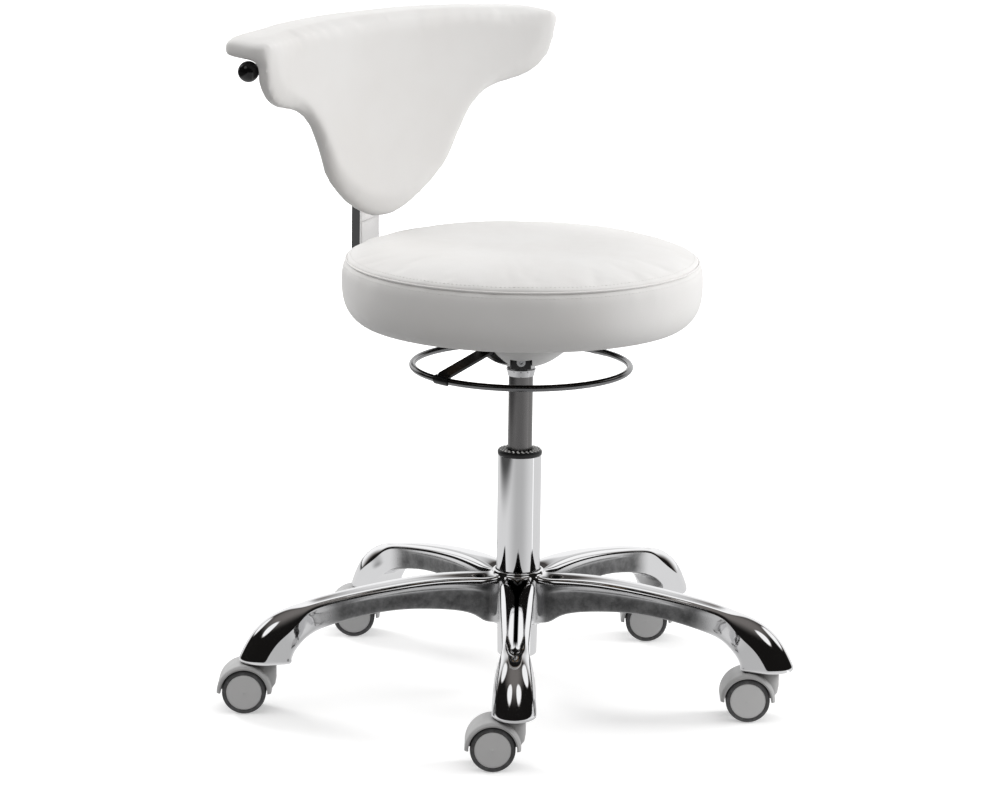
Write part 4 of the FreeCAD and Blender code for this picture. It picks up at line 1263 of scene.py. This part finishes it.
def add_camera():
    """Long lens at a little above seat height, looking down past the sitter's right."""
    place = TOWARD_CAMERA * CAMERA_DISTANCE + Vector((0, 0, FLOOR + CAMERA_HEIGHT))
    ahead = CAMERA_RIGHT * math.sin(CAMERA_PAN) - TOWARD_CAMERA * math.cos(CAMERA_PAN)
    right = CAMERA_RIGHT * math.cos(CAMERA_PAN) + TOWARD_CAMERA * math.sin(CAMERA_PAN)
    up = Vector((0, 0, 1))
    forward = ahead * math.cos(CAMERA_TILT) - up * math.sin(CAMERA_TILT)
    above = ahead * math.sin(CAMERA_TILT) + up * math.cos(CAMERA_TILT)
    x_axis = right * math.cos(CAMERA_ROLL) + above * math.sin(CAMERA_ROLL)
    y_axis = -right * math.sin(CAMERA_ROLL) + above * math.cos(CAMERA_ROLL)
    data = bpy.data.cameras.new("camera")
    data.sensor_width = SENSOR
    data.lens = LENS
    data.clip_end = 50.0
    camera = new_object("camera", data)
    matrix = Matrix((x_axis, y_axis, -forward)).transposed().to_4x4()
    matrix.translation = place
    camera.matrix_world = matrix
    bpy.context.scene.camera = camera


def mirrored_floor(tree):
    """Tone of the floor in mirrored rays: dark far to the left, a bright strip to the right."""
    place = geometry_position(tree)
    nearer = dot_with(tree, place, TOWARD_CAMERA)
    rightward = dot_with(tree, place, CAMERA_RIGHT)
    leftward = maths(tree, "MULTIPLY", rightward, -1.0)
    turn = maths(tree, "ARCTAN2", rightward, nearer)
    beside = smooth_step(tree, maths(tree, "ABSOLUTE", turn, 0.0), 0.15, 1.2, 0.52, 0.78)
    far_left = smooth_step(tree, leftward, 0.9, 1.6, 1.0, 0.10)
    from_strip = maths(tree, "ABSOLUTE", maths(tree, "SUBTRACT", turn, 1.35), 0.0)
    strip = smooth_step(tree, from_strip, 0.03, 0.07, 0.45, 0.0)
    return maths(tree, "ADD", maths(tree, "MULTIPLY", beside, far_left), strip)


def matt_floor(tree):
    """Light the floor throws back on matt surfaces: stronger on the camera's right."""
    rightward = dot_with(tree, geometry_position(tree), CAMERA_RIGHT)
    return smooth_step(tree, rightward, 0.05, 0.5, 0.27, 0.66)


def add_floor():
    """Plain white floor: soft contact shadows for the camera, an even tone in reflections."""
    bpy.ops.mesh.primitive_plane_add(size=24.0, location=(0, 0, FLOOR - 0.0002))
    floor = bpy.context.object
    floor.name = "floor"
    material, tree, shader = new_material("floor")
    away = tree.nodes.new("ShaderNodeVectorMath")
    away.operation = "LENGTH"
    tree.links.new(geometry_position(tree), away.inputs[0])
    glow = smooth_step(tree, away.outputs["Value"], 0.9, 3.2, 0.32, 1.0)
    feed(tree, shader, Base_Color=(0.84, 0.84, 0.84, 1), Roughness=0.9, Specular_IOR_Level=0.1,
         Emission_Color=(1, 1, 1, 1), Emission_Strength=glow)
    bounced = add_node(tree, "ShaderNodeEmission", Color=(1, 1, 1, 1), Strength=1.0)
    path = tree.nodes.new("ShaderNodeLightPath")
    mirrored = maths(tree, "MULTIPLY", mirrored_floor(tree), path.outputs["Is Glossy Ray"])
    other = maths(tree, "SUBTRACT", 1.0, path.outputs["Is Glossy Ray"])
    matt = maths(tree, "MULTIPLY", matt_floor(tree), other)
    tree.links.new(maths(tree, "ADD", mirrored, matt), bounced.inputs["Strength"])
    mix = tree.nodes.new("ShaderNodeMixShader")
    tree.links.new(path.outputs["Is Camera Ray"], mix.inputs["Fac"])
    tree.links.new(bounced.outputs["Emission"], mix.inputs[1])
    tree.links.new(shader.outputs["BSDF"], mix.inputs[2])
    tree.links.new(mix.outputs["Shader"], tree.nodes["Material Output"].inputs["Surface"])
    floor.data.materials.append(material)


def add_area_light(name, azimuth, elevation, size, power):
    """Square area light aimed at the stool's middle; mirrored surfaces don't show it."""
    direction = direction_at(azimuth, elevation)
    data = bpy.data.lights.new(name, "AREA")
    data.shape = "RECTANGLE"
    data.size = size
    data.size_y = size
    data.energy = power
    light = new_object(name, data)
    light.visible_glossy = False
    light.location = Vector((0, 0, height(LIGHT_TARGET))) + direction * LIGHT_DISTANCE
    light.rotation_euler = direction.to_track_quat("Z", "Y").to_euler()


def reflected_studio(tree, coordinates, rise):
    """What polished metal mirrors: low white backdrop, dim ceiling, soft boxes, dark front."""
    facing = dot_with(tree, coordinates, TOWARD_CAMERA)
    far_side = smooth_step(tree, facing, -0.80, -0.55, 1.0, 0.0)
    low = smooth_step(tree, rise, 0.70, 0.85, 1.0, 0.0)
    backdrop = maths(tree, "MULTIPLY", far_side, low)
    ceiling = smooth_step(tree, rise, 0.60, 0.98, 0.0, 0.16)
    level = maths(tree, "MAXIMUM", backdrop, ceiling)
    for azimuth, elevation, size in SOFT_BOXES:
        inside = dot_with(tree, coordinates, direction_at(CAMERA_AZIMUTH + azimuth, elevation))
        spot = smooth_step(tree, inside, size + BOX_EDGE[0], size + BOX_EDGE[1])
        level = maths(tree, "MAXIMUM", level, spot)
    return map_range(tree, level, 0.0, 1.0, DARKEST_MIRRORED, BRIGHTEST_MIRRORED)


def diffuse_studio(tree, coordinates, rise):
    """Soft light on matt surfaces: strong from the right, weak from the front left."""
    lateral = dot_with(tree, coordinates, CAMERA_RIGHT)
    right = smooth_step(tree, lateral, 0.30, 0.90, 0.0, 0.26)
    left = smooth_step(tree, lateral, -0.98, -0.65, 0.55, 0.0)
    above = smooth_step(tree, rise, 0.25, 0.95, 0.0, 0.94)
    sides = maths(tree, "ADD", right, left)
    return maths(tree, "ADD", maths(tree, "ADD", sides, above), 0.155)


def add_world():
    """Studio light that differs for mirrored, matt and camera rays."""
    world = bpy.data.worlds.new("studio")
    bpy.context.scene.world = world
    world.use_nodes = True
    tree = world.node_tree
    background = tree.nodes["Background"]
    coordinates = tree.nodes.new("ShaderNodeTexCoord").outputs["Generated"]
    rise = dot_with(tree, coordinates, Vector((0, 0, 1)))
    mirrored = reflected_studio(tree, coordinates, rise)
    matt = diffuse_studio(tree, coordinates, rise)
    path = tree.nodes.new("ShaderNodeLightPath")
    glossy = path.outputs["Is Glossy Ray"]
    mirrored_part = maths(tree, "MULTIPLY", mirrored, glossy)
    matt_part = maths(tree, "MULTIPLY", matt, maths(tree, "SUBTRACT", 1.0, glossy))
    level = maths(tree, "ADD", mirrored_part, matt_part)
    seen = maths(tree, "MAXIMUM", level, path.outputs["Is Camera Ray"])
    warmth = smooth_step(tree, seen, 0.1, 0.6)
    feed(tree, background, Strength=seen, Color=mix_colour(tree, warmth, WARM_SHADE, (1.0, 1.0, 1.0)))


def add_studio():
    """Floor, surroundings, two lights, the camera and a plain view transform."""
    add_floor()
    add_world()
    add_area_light("key", **KEY_LIGHT)
    add_area_light("rim", **RIM_LIGHT)
    add_camera()
    scene = bpy.context.scene
    scene.view_settings.view_transform = "Standard"
    scene.view_settings.look = "None"


def build():
    """The whole stool and its studio."""
    keep_cad_nodes()
    star_base()
    column_pieces()
    lift_ring()
    castors()
    seat_upholstery()
    back_upholstery()
    dust_cover()
    add_studio()


build()
